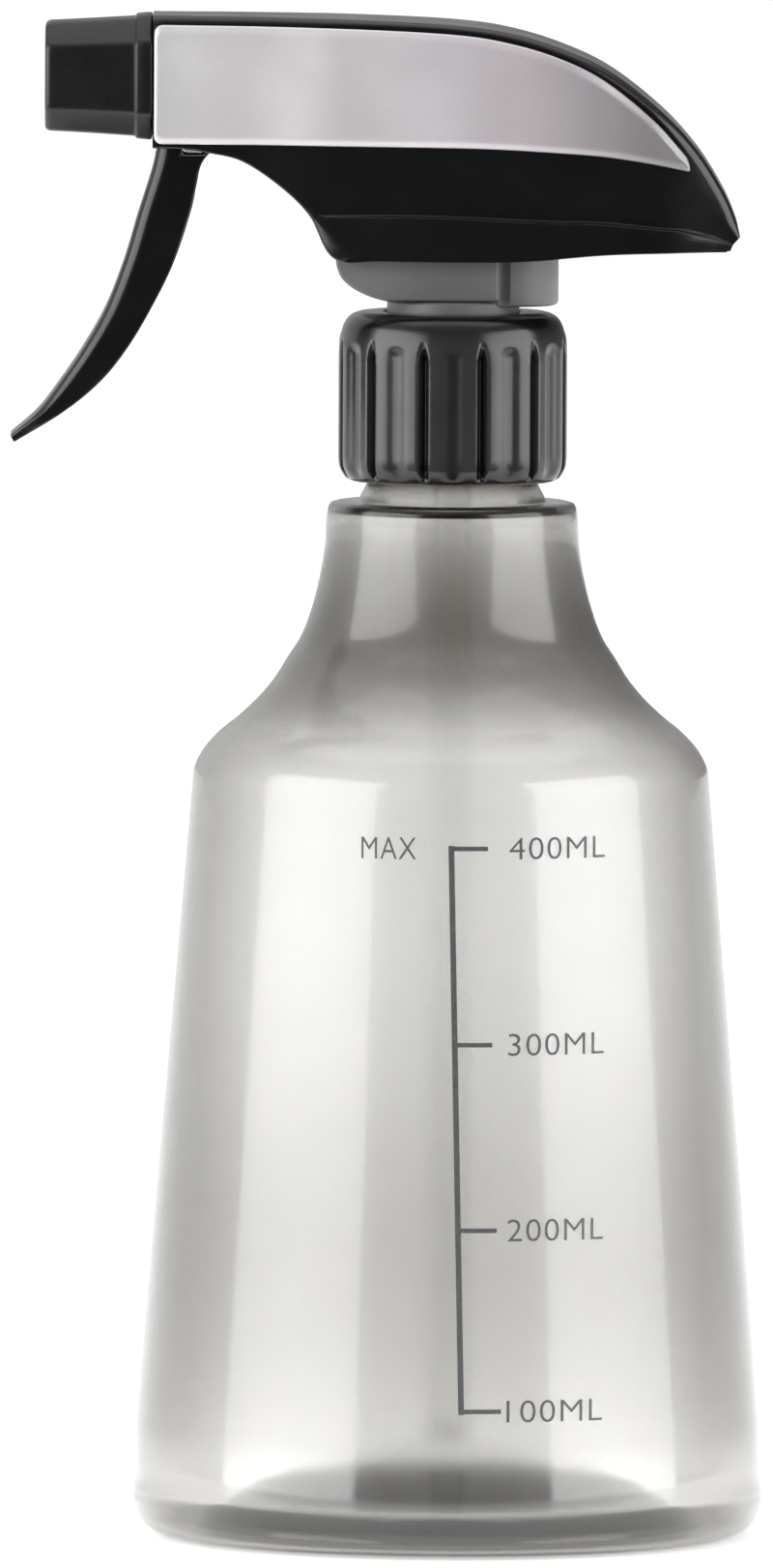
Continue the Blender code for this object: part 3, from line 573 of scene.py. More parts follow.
def coil(name, radius, wire, start, pitch, turns, at, per_turn=36, sides=14):
    """A compression spring along X with its end turns closed up."""
    rows = []
    count = int(turns * per_turn)
    length = pitch * turns

    def centre(i):
        share = i / count
        angle = 2 * math.pi * turns * share
        # the end turns lie closer than the working ones
        eased = share + 0.035 * math.sin(2 * math.pi * share) * -1.0
        return Vector((start + length * eased, at[0] + radius * math.cos(angle), at[1] + radius * math.sin(angle)))

    for i in range(count + 1):
        here = centre(i)
        ahead = (centre(i + 0.05) - centre(i - 0.05)).normalized()
        out = Vector((0.0, here.y - at[0], here.z - at[1])).normalized()
        third = ahead.cross(out).normalized()
        row = []
        for j in range(sides):
            turn = 2 * math.pi * j / sides
            row.append(here + wire * (math.cos(turn) * out + math.sin(turn) * third))
        rows.append([tuple(p) for p in row])
    return from_rows(name, rows, fill=True)


# ------------------------------------------------------------------ bottle
neck = [(10.45, NECK_TOP_Z), (NECK_R, NECK_TOP_Z - 0.4), (NECK_R, 141.4), (11.3, 140.1), (12.3, 138.1), (12.5, LEDGE_Z)]
shoulder = [
    (15.5, LEDGE_Z), (16.45, 137.0), (16.65, 136.0), (16.9, 132.0), (17.7, 127.0), (18.7, 123.1), (20.2, 119.2),
    (21.8, 116.7), (23.4, 114.1), (25.5, 111.5), (28.1, 109.0), (31.2, 106.4), (33.2, 104.0),
]
wall = [(SHOULDER_R, SHOULDER_Z), (BASE_R, BASE_R_Z)]
heel = [(41.9, 4.2), (40.8, 1.7), (39.2, 0.45), (37.4, 0.0)]
dome_coarse = [(33.6, 0.0)] + [
    (33.0 * math.cos(a), 0.35 + (PUSH_UP - 0.35) * math.sin(a)) for a in [math.radians(d) for d in (8, 28, 50, 70)]
]
outside_coarse = neck + shoulder + wall + heel + dome_coarse + [(0.0, PUSH_UP)]


def wall_depth(z):
    return value_at([(120.0, BOTTLE_WALL), (142.0, NECK_R - NECK_BORE_R)], z)


inside_coarse = inset(outside_coarse[1:-1], wall_depth)
inside_coarse = [(NECK_BORE_R, NECK_TOP_Z)] + [p for p in inside_coarse if p[0] > 0.5] + [(0.0, PUSH_UP + BOTTLE_WALL)]

lip = [(NECK_BORE_R, NECK_TOP_Z - 0.25), (NECK_BORE_R + 0.08, NECK_TOP_Z - 0.07), (NECK_BORE_R + 0.25, NECK_TOP_Z)]
outer_neck = [(10.45, NECK_TOP_Z), (10.73, NECK_TOP_Z - 0.1), (NECK_R, NECK_TOP_Z - 0.4)]
outer_neck += rows_between((NECK_R, NECK_TOP_Z - 0.4), (NECK_R, 141.4), 0.22)
outer_neck += refine([(NECK_R, 141.4), (11.3, 140.1), (12.3, 138.1), (12.5, LEDGE_Z + 0.15)], 6)
ledge = [(12.62, LEDGE_Z + 0.03), (12.8, LEDGE_Z), (15.2, LEDGE_Z)]
round_shoulder = refine([(15.5, LEDGE_Z - 0.02), (16.2, 137.28), (16.5, 136.7), *shoulder[2:], *wall], 6)
round_shoulder = [p for p in round_shoulder if p[1] > SHOULDER_Z - 0.01]
straight = rows_between((SHOULDER_R, SHOULDER_Z), (BASE_R, BASE_R_Z), 3.0)
round_heel = refine([(BASE_R, BASE_R_Z), *heel, (36.0, 0.0), (34.6, 0.06), (33.6, 0.3)], 7)
dome = [
    (33.0 * math.cos(a), 0.35 + (PUSH_UP - 0.35) * math.sin(a)) for a in [math.radians(1 + 89 * i / 30) for i in range(30)]
]
outside = outer_neck + ledge + round_shoulder + straight + round_heel + dome + [(0.0, PUSH_UP)]
inside = refine([(NECK_BORE_R, NECK_TOP_Z - 0.25), *inside_coarse[2:]], 5)


def with_thread(r, z, angle):
    if not 141.0 < z < 157.2 or r < NECK_R - 0.01:
        return r
    reach = 0.0
    for k in range(3):
        turn = angle / (2 * math.pi) + k
        if not 0.0 <= turn <= THREAD_TURNS:
            continue
        away = z - (THREAD_START_Z + THREAD_PITCH * turn)
        if abs(away) < THREAD_CREST:
            fade = min(1.0, turn / 0.14, (THREAD_TURNS - turn) / 0.14)
            reach = max(reach, fade**0.5 * math.sqrt(THREAD_CREST**2 - away**2) * 0.97)
    return r + reach


bottle_shape = lathe("bottle_shell", inside[::-1][:-1] + lip + outside, ROUND, bend=with_thread)
finished(bottle_shape, PET, "bottle", "bottle_plastic", "bottle", "neck_finish", sharp=50.0)

# Printed scale on the front of the bottle: a line, four ticks and their volumes.
TICKS = [("400ML", 93.7, 4.9), ("300ML", 67.9, 5.6), ("200ML", 43.5, 6.3), ("100ML", 19.7, 7.0)]


def wall_radius(z):
    return BASE_R + (SHOULDER_R - BASE_R) * (z - BASE_R_Z) / (SHOULDER_Z - BASE_R_Z)


def on_wall(arc, z, lift):
    """The point at an arc length from the front line of the bottle, just over its surface."""
    reach = wall_radius(z)
    angle = arc / reach
    return ((reach + lift) * math.sin(angle), -(reach + lift) * math.cos(angle), z)


ink = bmesh.new()


def strip(outline_left, outline_right):
    """A thin printed band between two rows of (arc, z)."""
    low = 0.012
    high = 0.05
    count = len(outline_left)
    rows = []
    for (a, za), (b, zb) in zip(outline_left, outline_right):
        rows.append([ink.verts.new(Vector(on_wall(*p)) * MM) for p in ((a, za, low), (a, za, high), (b, zb, high), (b, zb, low))])
    for first, second in zip(rows, rows[1:]):
        for j in range(4):
            k = (j + 1) % 4
            ink.faces.new((first[j], first[k], second[k], second[j]))
    ink.faces.new(rows[0])
    ink.faces.new(rows[count - 1][::-1])


def line_at(z):
    """The scale's line leans a little, as the wall does."""
    return 0.06 + (1.70 - 0.06) * (93.7 - z) / (93.7 - 19.7)


def letter(text, begin, end, z):
    """Thin printed lettering between two arc lengths."""
    words = bpy.data.curves.new("words", "FONT")
    words.body = text
    words.size = 4.1
    words.space_character = 1.08
    words.resolution_u = 6
    words.offset = -0.035
    words.extrude = 0.02
    holder = new_object("words", words)
    lettering = evaluated(holder)
    bpy.data.objects.remove(holder, do_unlink=True)
    left = min(v.co.x for v in lettering.vertices)
    wide = max(v.co.x for v in lettering.vertices) - left
    tall = max(v.co.y for v in lettering.vertices)
    for vertex in lettering.vertices:
        lift = 0.05 if vertex.co.z > 0 else 0.012
        arc = begin + (vertex.co.x - left) / wide * (end - begin)
        vertex.co = Vector(on_wall(arc, z - 1.45 + vertex.co.y / tall * 2.9, lift)) * MM
    ink.from_mesh(lettering)


heights = [94.1 - (94.1 - 19.3) * i / 60 for i in range(61)]
strip([(line_at(z) - 0.38, z) for z in heights], [(line_at(z) + 0.38, z) for z in heights])
for text, z, reach in TICKS:
    start = line_at(z) + 0.1
    arcs = [start + (reach - start) * i / 8 for i in range(9)]
    strip([(a, z + 0.3) for a in arcs], [(a, z - 0.3) for a in arcs])
    letter(text, wall_radius(z) * math.asin(7.7 / wall_radius(z)), wall_radius(z) * math.asin(20.3 / wall_radius(z)), z)
letter("MAX", -wall_radius(93.7) * math.asin(11.8 / wall_radius(93.7)), -wall_radius(93.7) * math.asin(4.6 / wall_radius(93.7)), 93.7)
bmesh.ops.remove_doubles(ink, verts=ink.verts, dist=1e-8)
bmesh.ops.recalc_face_normals(ink, faces=ink.faces)
ink_mesh = bpy.data.meshes.new("graduations")
ink.to_mesh(ink_mesh)
ink.free()
finished(new_object("graduations", ink_mesh), INK, "bottle", "black_plastic", "bottle", sharp=30.0)

# ------------------------------------------------------------------ closure collar
LOBE = 2 * math.pi / COLLAR_LOBES


def collar_skin(r, z, angle):
    """Twelve grip lobes, each with a shallow flute, and rounded grooves between them."""
    if r <= 12.9:
        if r < 12.45 or z > 160.0 or z < 141.4:
            return r
        reach = 0.0
        for k in range(3):
            turn = angle / (2 * math.pi) + k
            if 0.0 <= turn <= 1.5:
                away = z - (THREAD_START_Z + THREAD_PITCH / 2 + THREAD_PITCH * turn)
                if abs(away) < 0.9:
                    fade = min(1.0, turn / 0.14, (1.5 - turn) / 0.14)
                    reach = max(reach, fade**0.5 * math.sqrt(0.81 - away**2) * 0.97)
        return r - max(0.0, reach)
    u = math.degrees((angle + LOBE / 2) % LOBE - LOBE / 2)
    side = abs(u)
    fade = 1.0 - step_between(157.4, 159.3, z)
    low = step_between(140.5, 142.3, z)
    top_round = step_between(156.6, 158.9, z)
    width = 3.3 - 1.6 * top_round
    deep = 0.0
    if side > 15.0 - width:
        t = (side - (15.0 - width)) / width
        deep = 0.5 - 0.5 * math.cos(math.pi * min(1.0, t * 1.12))
    flute = 0.0
    if side < 8.4:
        flute = 0.5 + 0.5 * math.cos(math.pi * side / 8.4)
    return r - (1.35 * deep + 0.5 * flute) * fade * low


collar_profile = [(9.2, 162.5), (9.45, 162.8), (10.2, 162.8)]
collar_profile += refine([(10.6, 162.8), (12.9, 162.62), (13.7, 162.2), (14.3, 161.5), (14.9, 160.0), (15.25, 158.6), (15.35, 157.0)], 4, sharp=60)[0:]
collar_profile += rows_between((15.35, 157.0), (15.35, 144.5), 0.55)
collar_profile += refine([(15.35, 144.5), (15.33, 143.2), (15.2, 142.2), (14.75, 141.3), (14.2, 140.6), (13.6, 140.32)], 4, sharp=60)
collar_profile += [(13.3, 140.3), (13.05, 140.34), (12.8, 140.6), (COLLAR_BORE_R, 141.2)]
collar_profile += rows_between((COLLAR_BORE_R, 141.2), (COLLAR_BORE_R, 160.7), 0.3)
collar_profile += [(COLLAR_BORE_R, 160.7), (12.35, 160.9), (9.4, 160.9), (9.2, 161.1)]
collar_shape = lathe("grip_collar", collar_profile, 480, closed=True, bend=collar_skin)
finished(collar_shape, COLLAR_BLACK, "collar", "black_plastic", "closure_collar", sharp=48.0)

# ------------------------------------------------------------------ seals and inlet valve
gasket_profile = [(11.0, 159.0), (11.2, 158.85), (11.2, 157.95), (11.0, 157.8), (8.2, 157.8), (8.0, 157.95), (8.0, 158.85), (8.2, 159.0)]
finished(lathe("flat_gasket", gasket_profile, 96, closed=True), GASKET, "neck_seal", "seal_rubber", "neck_gasket")

housing = lathe(
    "inlet_housing",
    [
        (2.7, 172.0), (4.5, 172.0), (4.85, 171.9), (5.0, 171.6), (5.0, 170.4), (4.9, 170.3), (4.1, 170.3), (4.1, 168.7), (4.9, 168.7),
        (5.0, 168.6), (5.0, 160.75), (5.15, 160.6), (11.0, 160.6), (11.2, 160.45), (11.2, 159.45), (11.0, 159.3), (7.6, 159.3),
        (7.1, 159.1), (6.2, 158.3), (5.2, 157.8), (4.3, 157.6), (4.2, 157.4), (4.2, 146.3), (3.95, 146.0),
        (3.0, 146.0), (2.8, 146.25), (2.8, 156.2), (1.5, 156.2), (1.5, 163.0), (2.05, 163.5), (2.6, 164.1), (2.6, 171.8),
    ],
    72,
    closed=True,
)
cut(housing, box("ball_stop", (-3.3, -0.5, 168.4), (3.3, 0.5, 169.6)), "UNION")
finished(housing, NATURAL, "head", "natural_plastic", "valve_housing", sharp=30.0)

ball_profile = [(2.0 * math.sin(math.pi * i / 28), 2.0 * math.cos(math.pi * i / 28)) for i in range(29)]
ball_profile[0], ball_profile[-1] = (0.0, 2.0), (0.0, -2.0)
finished(lathe("check_ball", ball_profile, 48, at=(0.0, 0.0, 165.0)), STEEL, "inlet_ball", "spring_steel", "inlet_ball", sharp=80.0)


def ring_profile(radius, wire, at, sides=20):
    return [
        (radius + wire * math.cos(2 * math.pi * i / sides), at - wire * math.sin(2 * math.pi * i / sides)) for i in range(sides)
    ]


finished(lathe("stem_ring", ring_profile(4.85, 0.45, 169.5), 72, closed=True), RUBBER, "head", "seal_rubber", "stem_seal", sharp=80.0)

tube_profile = [(2.5, 155.8), (2.42, 155.9), (1.88, 155.9), (1.8, 155.8), (1.8, 12.1), (1.86, 12.0), (2.42, 12.0), (2.5, 12.1)]
tube_profile = [(2.42, 155.9), (2.5, 155.8), *rows_between((2.5, 155.8), (2.5, 12.1), 4.0), (2.5, 12.1), (2.42, 12.0), (1.86, 12.0), (1.8, 12.1), *rows_between((1.8, 12.1), (1.8, 155.8), 4.0), (1.8, 155.8), (1.88, 155.9)]
finished(lathe("suction_tube", tube_profile, 36, closed=True), TUBE, "head", "tube_plastic", "dip_tube")

# ------------------------------------------------------------------ pump body
neck_outline = [
    (-15.6, 171.6), (-15.6, 169.6), (-14.9, 167.4), (-13.6, 166.3), (-12.1, 165.5), (-10.4, 164.8), (-9.0, 164.5), (6.0, 164.5), (6.0, 171.6),
]
smooth_outline = refine([(-15.6, 171.6), (-15.6, 169.6), (-14.9, 167.6), (-13.6, 166.35), (-12.1, 165.5), (-10.4, 164.85), (-9.0, 164.5)], 5) + [
    (6.0, 164.5), (6.0, 171.6)
]
body = lathe(
    "pump_block",
    [
        (0.0, 182.5), (3.2, 182.5), (3.4, 182.3), (3.4, 176.5), (7.0, 174.7), (7.2, 174.4), (7.2, 164.5), (7.35, 164.3), (8.55, 164.3),
        (HUB_R, 164.05), (HUB_R, 161.15), (8.55, 160.9), (0.0, 160.9),
    ],
    96,
)
fairing_rows = []
for y in (-8.2, 8.2):
    fairing_rows.append([(x, y, z) for x, z in smooth_outline])
fairing = rounded(from_rows("fairing", fairing_rows, fill=True), 0.7, 4, 30.0)
cut(body, fairing, "UNION")
pillar = lathe("pillar", [(0.0, 171.9), (6.9, 171.9), (6.9, 164.3), (6.75, 163.9), (6.35, 163.7), (0.0, 163.7)], 96, at=(7.1, 0.0, 0.0))
cut(body, pillar, "UNION")
cut(body, rod("cylinder_wall", CYLINDER_R, -22.0, 5.0, 72, "X", (0.0, 0.0, CYLINDER_Z)), "UNION")
cut(body, box("web", (-30.5, -0.9, 188.5), (4.5, 0.9, 193.0)), "UNION")
cut(body, box("riser", (0.4, -2.2, 188.0), (5.2, 2.2, 193.5)), "UNION")
cut(
    body,
    lathe(
        "discharge_tube",
        [
            (0.0, 6.2), (2.8, 6.2), (2.8, -29.5), (NOZZLE_TUBE_R, -30.3), (NOZZLE_TUBE_R, -42.9), (2.85, -42.9), (2.85, -44.1),
            (NOZZLE_TUBE_R, -44.1), (NOZZLE_TUBE_R, -45.6), (3.2, NOZZLE_TUBE_TIP), (0.0, NOZZLE_TUBE_TIP),
        ],
        64, along="X", at=(0.0, 0.0, DISCHARGE_Z),
    ),
    "UNION",
)
cut(body, rod("trunnions", 1.5, -5.9, 5.9, 40, "Y", (PIVOT_X, 0.0, PIVOT_Z)), "UNION")
cut(body, rod("stem_bore", STEM_BORE_R, 160.0, 172.5, 72))
cut(body, rod("suction_passage", 1.6, 171.0, CYLINDER_Z + 0.3, 32))
cut(body, rod("cylinder_bore", CYLINDER_BORE_R, -23.0, 6.0, 72, "X", (0.0, 0.0, CYLINDER_Z)))
cut(body, rod("riser_bore", DISCHARGE_BORE_R, CYLINDER_Z + 0.4, DISCHARGE_Z + 0.2, 30, at=(2.8, 0.0, 0.0)))
cut(
    body,
    lathe(
        "discharge_bore",
        [
            (0.0, 7.0), (DISCHARGE_BORE_R, 7.0), (DISCHARGE_BORE_R, VALVE_SEAT_X), (NOZZLE_BORE_R, VALVE_SEAT_X),
            (NOZZLE_BORE_R, -47.0), (0.0, -47.0),
        ],
        44, along="X", at=(0.0, 0.0, DISCHARGE_Z),
    ),
)
for side in (-1, 1):
    low, high = sorted((side * 6.5, side * 9.5))
    groove = rounded(box("pillar_groove", (6.0, low, 163.0), (7.6, high, 172.5)), 0.25, 2)
    cut(body, groove)
finished(body, GREY_BLACK, "head", "grey_black_plastic", "pump_body", sharp=30.0)

plug = lathe(
    "rear_plug",
    [
        (0.0, 6.8), (4.3, 6.8), (4.65, 6.7), (4.8, 6.4), (4.8, 5.4), (4.7, 5.3), (4.0, 5.3), (4.0, 3.05), (3.85, 2.9),
        (3.15, 2.9), (3.0, 3.05), (3.0, 4.3), (2.9, 4.4), (0.0, 4.4),
    ],
    64, along="X", at=(0.0, 0.0, CYLINDER_Z),
)
cut(plug, box("plug_notch", (1.0, -1.3, 188.0), (4.9, 1.3, 191.0)))
finished(plug, NATURAL, "head", "natural_plastic", "cylinder_plug", sharp=30.0)
finished(
    lathe(
        "front_plug",
        [(0.0, 7.7), (2.2, 7.7), (2.5, 7.6), (2.6, 7.3), (2.6, 6.6), (2.5, 6.5), (0.9, 6.5), (0.9, 4.8), (0.75, 4.6), (0.0, 4.6)],
        48, along="X", at=(0.0, 0.0, DISCHARGE_Z),
    ),
    NATURAL, "head", "natural_plastic", "discharge_plug", sharp=30.0,
)

# ------------------------------------------------------------------ piston
piston = lathe(
    "plunger",
    [
        (0.0, -10.0), (3.1, -10.0), (3.4, -10.25), (3.4, -10.8), (3.3, -10.9), (2.0, -10.9), (1.9, -11.0), (1.9, -16.4), (2.0, -16.5),
        (3.5, -16.5), (3.6, -16.6), (3.6, -17.3), (3.5, -17.4), (2.0, -17.4), (1.9, -17.5), (1.9, -33.1), (2.05, -33.3), (2.3, -33.6),
        (2.3, -35.3), (2.2, -35.6), (1.9, -35.95), (1.75, -36.0), (0.0, -36.0),
    ],
    48, along="X", at=(0.0, 0.0, CYLINDER_Z),
)
pin_profile = [(0.0, 5.4), (1.0, 5.4), (1.2, 5.2), (1.2, -5.2), (1.0, -5.4), (0.0, -5.4)]
cut(piston, lathe("cross_pin", pin_profile, 40, along="Y", at=(PIVOT_X, 0.0, CYLINDER_Z)), "UNION")
finished(piston, NATURAL, "piston", "natural_plastic", "piston_rod", sharp=30.0)
finished(
    lathe(
        "sealing_cup",
        [
            (3.2, -11.2), (3.9, -11.22), (4.02, -11.4), (4.02, -11.9), (3.85, -12.3), (3.6, -12.7), (3.6, -14.7), (3.8, -15.05),
            (4.02, -15.4), (4.02, -16.0), (3.9, -16.18), (3.2, -16.2), (3.05, -15.9), (2.9, -15.4), (2.2, -15.4), (2.2, -12.0),
            (2.9, -12.0), (3.05, -11.6),
        ],
        64, closed=True, along="X", at=(0.0, 0.0, CYLINDER_Z),
    ),
    CUP, "piston", "cup_plastic", "piston_cup", sharp=40.0,
)
return_coil = coil("return_coil", 2.75, 0.35, -9.3, 1.82, 6.3, (0.0, CYLINDER_Z))
finished(return_coil, STEEL, "head", "spring_steel", "return_spring", sharp=60.0)
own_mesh(return_coil)

# ------------------------------------------------------------------ outlet valve and nozzle
finished(
    lathe(
        "poppet",
        [
            (0.0, -33.0), (0.4, -33.15), (0.85, -33.4), (1.8, -33.85), (1.9, -34.0), (1.9, -34.6), (1.8, -34.75), (0.9, -35.1), (0.8, -35.2),
            (0.8, -36.85), (0.65, -37.0), (0.0, -37.0),
        ],
        40, along="X", at=(0.0, 0.0, DISCHARGE_Z),
    ),
    NATURAL, "outlet_valve", "natural_plastic", "outlet_valve", sharp=30.0,
)
valve_coil = coil("valve_coil", 1.5, 0.2, -39.9, 0.98, 4.6, (0.0, DISCHARGE_Z), 30, 12)
finished(valve_coil, STEEL, "head", "spring_steel", "outlet_valve_spring", sharp=60.0)
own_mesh(valve_coil)

spinner = lathe(
    "swirl_plug",
    [(0.0, -40.5), (1.75, -40.5), (1.9, -40.65), (1.9, -45.3), (1.82, -45.6), (1.55, -46.45), (1.4, -46.6), (0.0, -46.6)],
    48, along="X", at=(0.0, 0.0, DISCHARGE_Z),
)
for side in (-1, 1):
    low, high = sorted((side * 1.35, side * 3.0))
    cut(spinner, box("spinner_flat", (-47.5, low, DISCHARGE_Z - 0.6), (-40.0, high, DISCHARGE_Z + 0.6)))
finished(spinner, NATURAL, "head", "natural_plastic", "spinner", sharp=30.0)


def octagon(x, half, corner, radius=0.55, per=5):
    """A square ring with cut corners, each edge rounded, round the nozzle's axis."""
    flat = half - corner
    sharp = [(half, flat), (flat, half), (-flat, half), (-half, flat), (-half, -flat), (-flat, -half), (flat, -half), (half, -flat)]
    ring = []
    for i, corner_point in enumerate(sharp):
        here = Vector(corner_point)
        a = (Vector(sharp[i - 1]) - here).normalized()
        b = (Vector(sharp[(i + 1) % 8]) - here).normalized()
        reach = min(radius, 0.35 * half)
        for j in range(per):
            t = j / (per - 1)
            p = here + a * reach * (1 - t) ** 2 + b * reach * t * t
            ring.append((x, p.x, DISCHARGE_Z + p.y))
    return ring


def cap_half(x):
    return 8.3 + (7.2 - 8.3) * (x - CAP_BACK) / (CAP_FRONT - CAP_BACK)


cap_rows = []
for x, less in (
    (CAP_BACK + 0.27, 0.32), (CAP_BACK + 0.22, 0.16), (CAP_BACK + 0.11, 0.05), (CAP_BACK - 0.05, 0.0), (-41.2, 0.0), (-42.0, 0.0), (-42.12, 0.03),
    (-42.2, 0.1), (-42.35, 0.26), (-42.45, 0.29), (-42.6, 0.30), (-44.0, 0.28), (-46.0, 0.24), (-48.0, 0.2), (-50.0, 0.15), (-52.0, 0.1), (-53.4, 0.05), (-53.7, 0.06),
    (-53.95, 0.13), (-54.15, 0.26), (-54.26, 0.42), (-54.3, 0.6),
):
    half = cap_half(x) - less
    cap_rows.append(octagon(x, half, 3.5 * half / 8.3))
nozzle = from_rows("spray_cap", cap_rows, fill=True)
cut(
    nozzle,
    lathe(
        "cap_bore",
        [(0.0, -38.0), (4.3, -38.0), (4.3, -40.5), (4.0, -40.8), (4.0, -46.4), (2.6, -46.4), (2.6, -50.6), (0.45, -51.6), (0.45, -56.0), (0.0, -56.0)],
        64, along="X", at=(0.0, 0.0, DISCHARGE_Z),
    ),
)
cut(
    nozzle,
    lathe(
        "orifice_recess",
        [(0.0, -56.0), (4.2, -56.0), (4.2, -54.45), (3.5, -54.3), (3.2, -54.15), (3.0, -53.9), (2.9, -53.2), (2.7, -53.0), (0.9, -53.0), (0.75, -53.2), (0.0, -53.2)][::-1],
        64, along="X", at=(0.0, 0.0, DISCHARGE_Z),
    ),
)
finished(nozzle, BLACK_SATIN, "nozzle", "black_plastic", "nozzle_cap", sharp=28.0)
finished(
    lathe("cap_ring", ring_profile(3.4, 0.3, -43.5, 16), 64, closed=True, along="X", at=(0.0, 0.0, DISCHARGE_Z)),
    RUBBER, "head", "seal_rubber", "nozzle_seal", sharp=80.0,
)

# ------------------------------------------------------------------ trigger
LEVER_FRONT = [
    (-35.0, 200.1), (-38.0, 198.6), (-38.6, 195.0), (-38.6, 190.0), (-39.3, 185.6), (-39.9, 182.4), (-40.7, 179.6), (-42.0, 175.5),
    (-43.8, 169.4), (-46.2, 163.2), (-49.2, 157.8), (-52.3, 153.2), (-55.2, 149.4), (-58.7, 146.3),
]
LEVER_BACK = [
    (-33.6, 200.1), (-31.0, 198.4), (-30.5, 195.0), (-30.5, 190.0), (-31.2, 185.6), (-33.4, 182.6), (-34.1, 179.8), (-34.9, 176.0),
    (-37.1, 169.4), (-39.9, 163.6), (-43.2, 158.0), (-46.8, 153.5), (-51.6, 149.5), (-58.2, 145.4),
]
LEVER_HALF = [(145.0, 5.4), (149.0, 6.6), (158.0, 7.2), (168.0, 6.6), (178.0, 5.6)]
LEVER_WALL = 1.6
outer_rows, inner_rows = [], []
for front, back in zip(spline([(*p, 0) for p in LEVER_FRONT], 76), spline([(*p, 0) for p in LEVER_BACK], 76)):
    half = value_at(LEVER_HALF, front.y)
    reach = (back - front).length
    way = (back - front).normalized()
    corner = min(1.9, 0.34 * reach)
    soft = min(0.35, 0.15 * reach)
    side = []
    for i in range(7):
        a = math.pi / 2 * i / 6
        side.append((corner * (1 - math.cos(a)), half - corner * (1 - math.sin(a))))
    side += [(corner + (reach - soft - corner) * share, half) for share in (0.25, 0.5, 0.75, 1.0)]
    side += [(reach - soft * (1 - math.sin(a)), half - soft * (1 - math.cos(a))) for a in (math.pi / 6, math.pi / 3, math.pi / 2)]
    side += [(reach, (half - soft) * 0.5)]
    ring = side + [(reach, 0.0)] + [(d, -h) for d, h in reversed(side)] + [(0.0, 0.0)]
    outer_rows.append([(front.x + way.x * d, h, front.y + way.y * d) for d, h in ring])
    near, far, hollow = LEVER_WALL, max(reach + 3.0, LEVER_WALL + 3.0), half - LEVER_WALL
    turn = min(0.9, 0.5 * hollow)
    side = []
    for i in range(5):
        a = math.pi / 2 * i / 4
        side.append((near + turn * (1 - math.cos(a)), hollow - turn * (1 - math.sin(a))))
    side.append((far, hollow))
    ring = side + [(d, -h) for d, h in reversed(side)]
    inner_rows.append([(front.x + way.x * d, h, front.y + way.y * d) for d, h in ring])
trigger = from_rows("lever", outer_rows, fill=True)
cut(trigger, from_rows("channel", inner_rows, fill=True))
cut(trigger, rounded(box("cheek_gap", (-44.0, -4.0, 183.6), (-28.0, 4.0, 203.0)), 0.3, 2))
cut(trigger, rod("hinge_hole", 1.78, -8.0, 8.0, 40, "Y", (PIVOT_X, 0.0, PIVOT_Z)))
slot_z = CYLINDER_Z - 0.36
cut(trigger, rounded(box("pin_slot", (PIVOT_X - 1.7, -8.0, slot_z - 2.1), (PIVOT_X + 1.7, 8.0, slot_z + 2.1)), 0.6, 3))
finished(trigger, BLACK, "trigger", "black_plastic", "trigger", sharp=34.0)

# ------------------------------------------------------------------ shroud
HEAD_TOP = [
    (-40.0, 202.2), (-26.0, 202.1), (-12.0, 201.8), (0.0, 201.2), (7.3, 200.2), (14.4, 198.1), (20.9, 195.0), (27.6, 189.8),
    (32.3, 184.7), (35.7, 179.4), (37.4, 175.6), (38.0, 173.2),
]
HEAD_BOTTOM = [
    (-40.0, 184.6), (-36.0, 184.5), (-32.4, 184.0), (-28.0, 182.9), (-23.0, 179.6), (-19.1, 175.8), (-15.8, 170.2), (-9.0, 169.9),
    (8.0, 169.9), (20.0, 170.8), (30.0, 171.1), (36.2, 171.2),
]
HEAD_HALF = [(-40.0, 7.6), (-28.0, 8.4), (-14.0, 9.9), (2.0, 10.7), (14.0, 10.5), (26.0, 9.7), (39.0, 7.6)]
CREASE = [(-16.0, 175.7), (8.0, 175.0), (26.0, 174.0), (36.0, 172.7)]
RIM_STANDS, TOP_CORNER = 0.72, 1.3


def head_half(x):
    return value_at(HEAD_HALF, x)


def head_section(bottom, top):
    height = (top - bottom).length
    small = min(1.0, height / 8.0)
    corner = TOP_CORNER * small
    rise = max(top.y - bottom.y, 0.2)
    rim = min(max((value_at(CREASE, bottom.x) - bottom.y) * height / rise, 0.9 * small), 0.45 * height)
    stand = RIM_STANDS * value_at([(-20.5, 0.0), (-15.5, 1.0), (26.0, 1.0), (36.0, 0.3)], bottom.x)
    levels = [(0.0, stand - 0.25 * small), (0.08 * small / height, stand - 0.1 * small), (0.25 * small / height, stand)]
    levels += [(rim * s / height, stand) for s in (0.35, 0.65)]
    steps = ((-0.12, 1.0), (0.02, 0.95), (0.16, 0.72), (0.34, 0.32), (0.5, 0.1), (0.7, 0.0), (1.0, 0.0))
    levels += [((rim + s * small) / height, stand * share) for s, share in steps]
    start = (rim + small) / height
    end = 1.0 - corner / height
    levels += [(start + (end - start) * i / 6, 0.0) for i in range(1, 7)]
    for i in range(1, 8):
        a = math.pi / 2 * i / 7
        levels.append((1.0 - corner * (1 - math.sin(a)) / height, -corner * (1 - math.cos(a))))
    side = []
    for share, out in levels:
        point = bottom.lerp(top, share)
        side.append((point.x, head_half(point.x) + out, point.y))
    x, y, z = side[-1]
    crown = [(x, y * s, z) for s in (0.75, 0.5, 0.25, 0.0, -0.25, -0.5, -0.75)]
    left = [(px, -py, pz) for px, py, pz in side]
    return left + [(px, -py, pz) for px, py, pz in crown] + [(px, py, pz) for px, py, pz in reversed(side)]


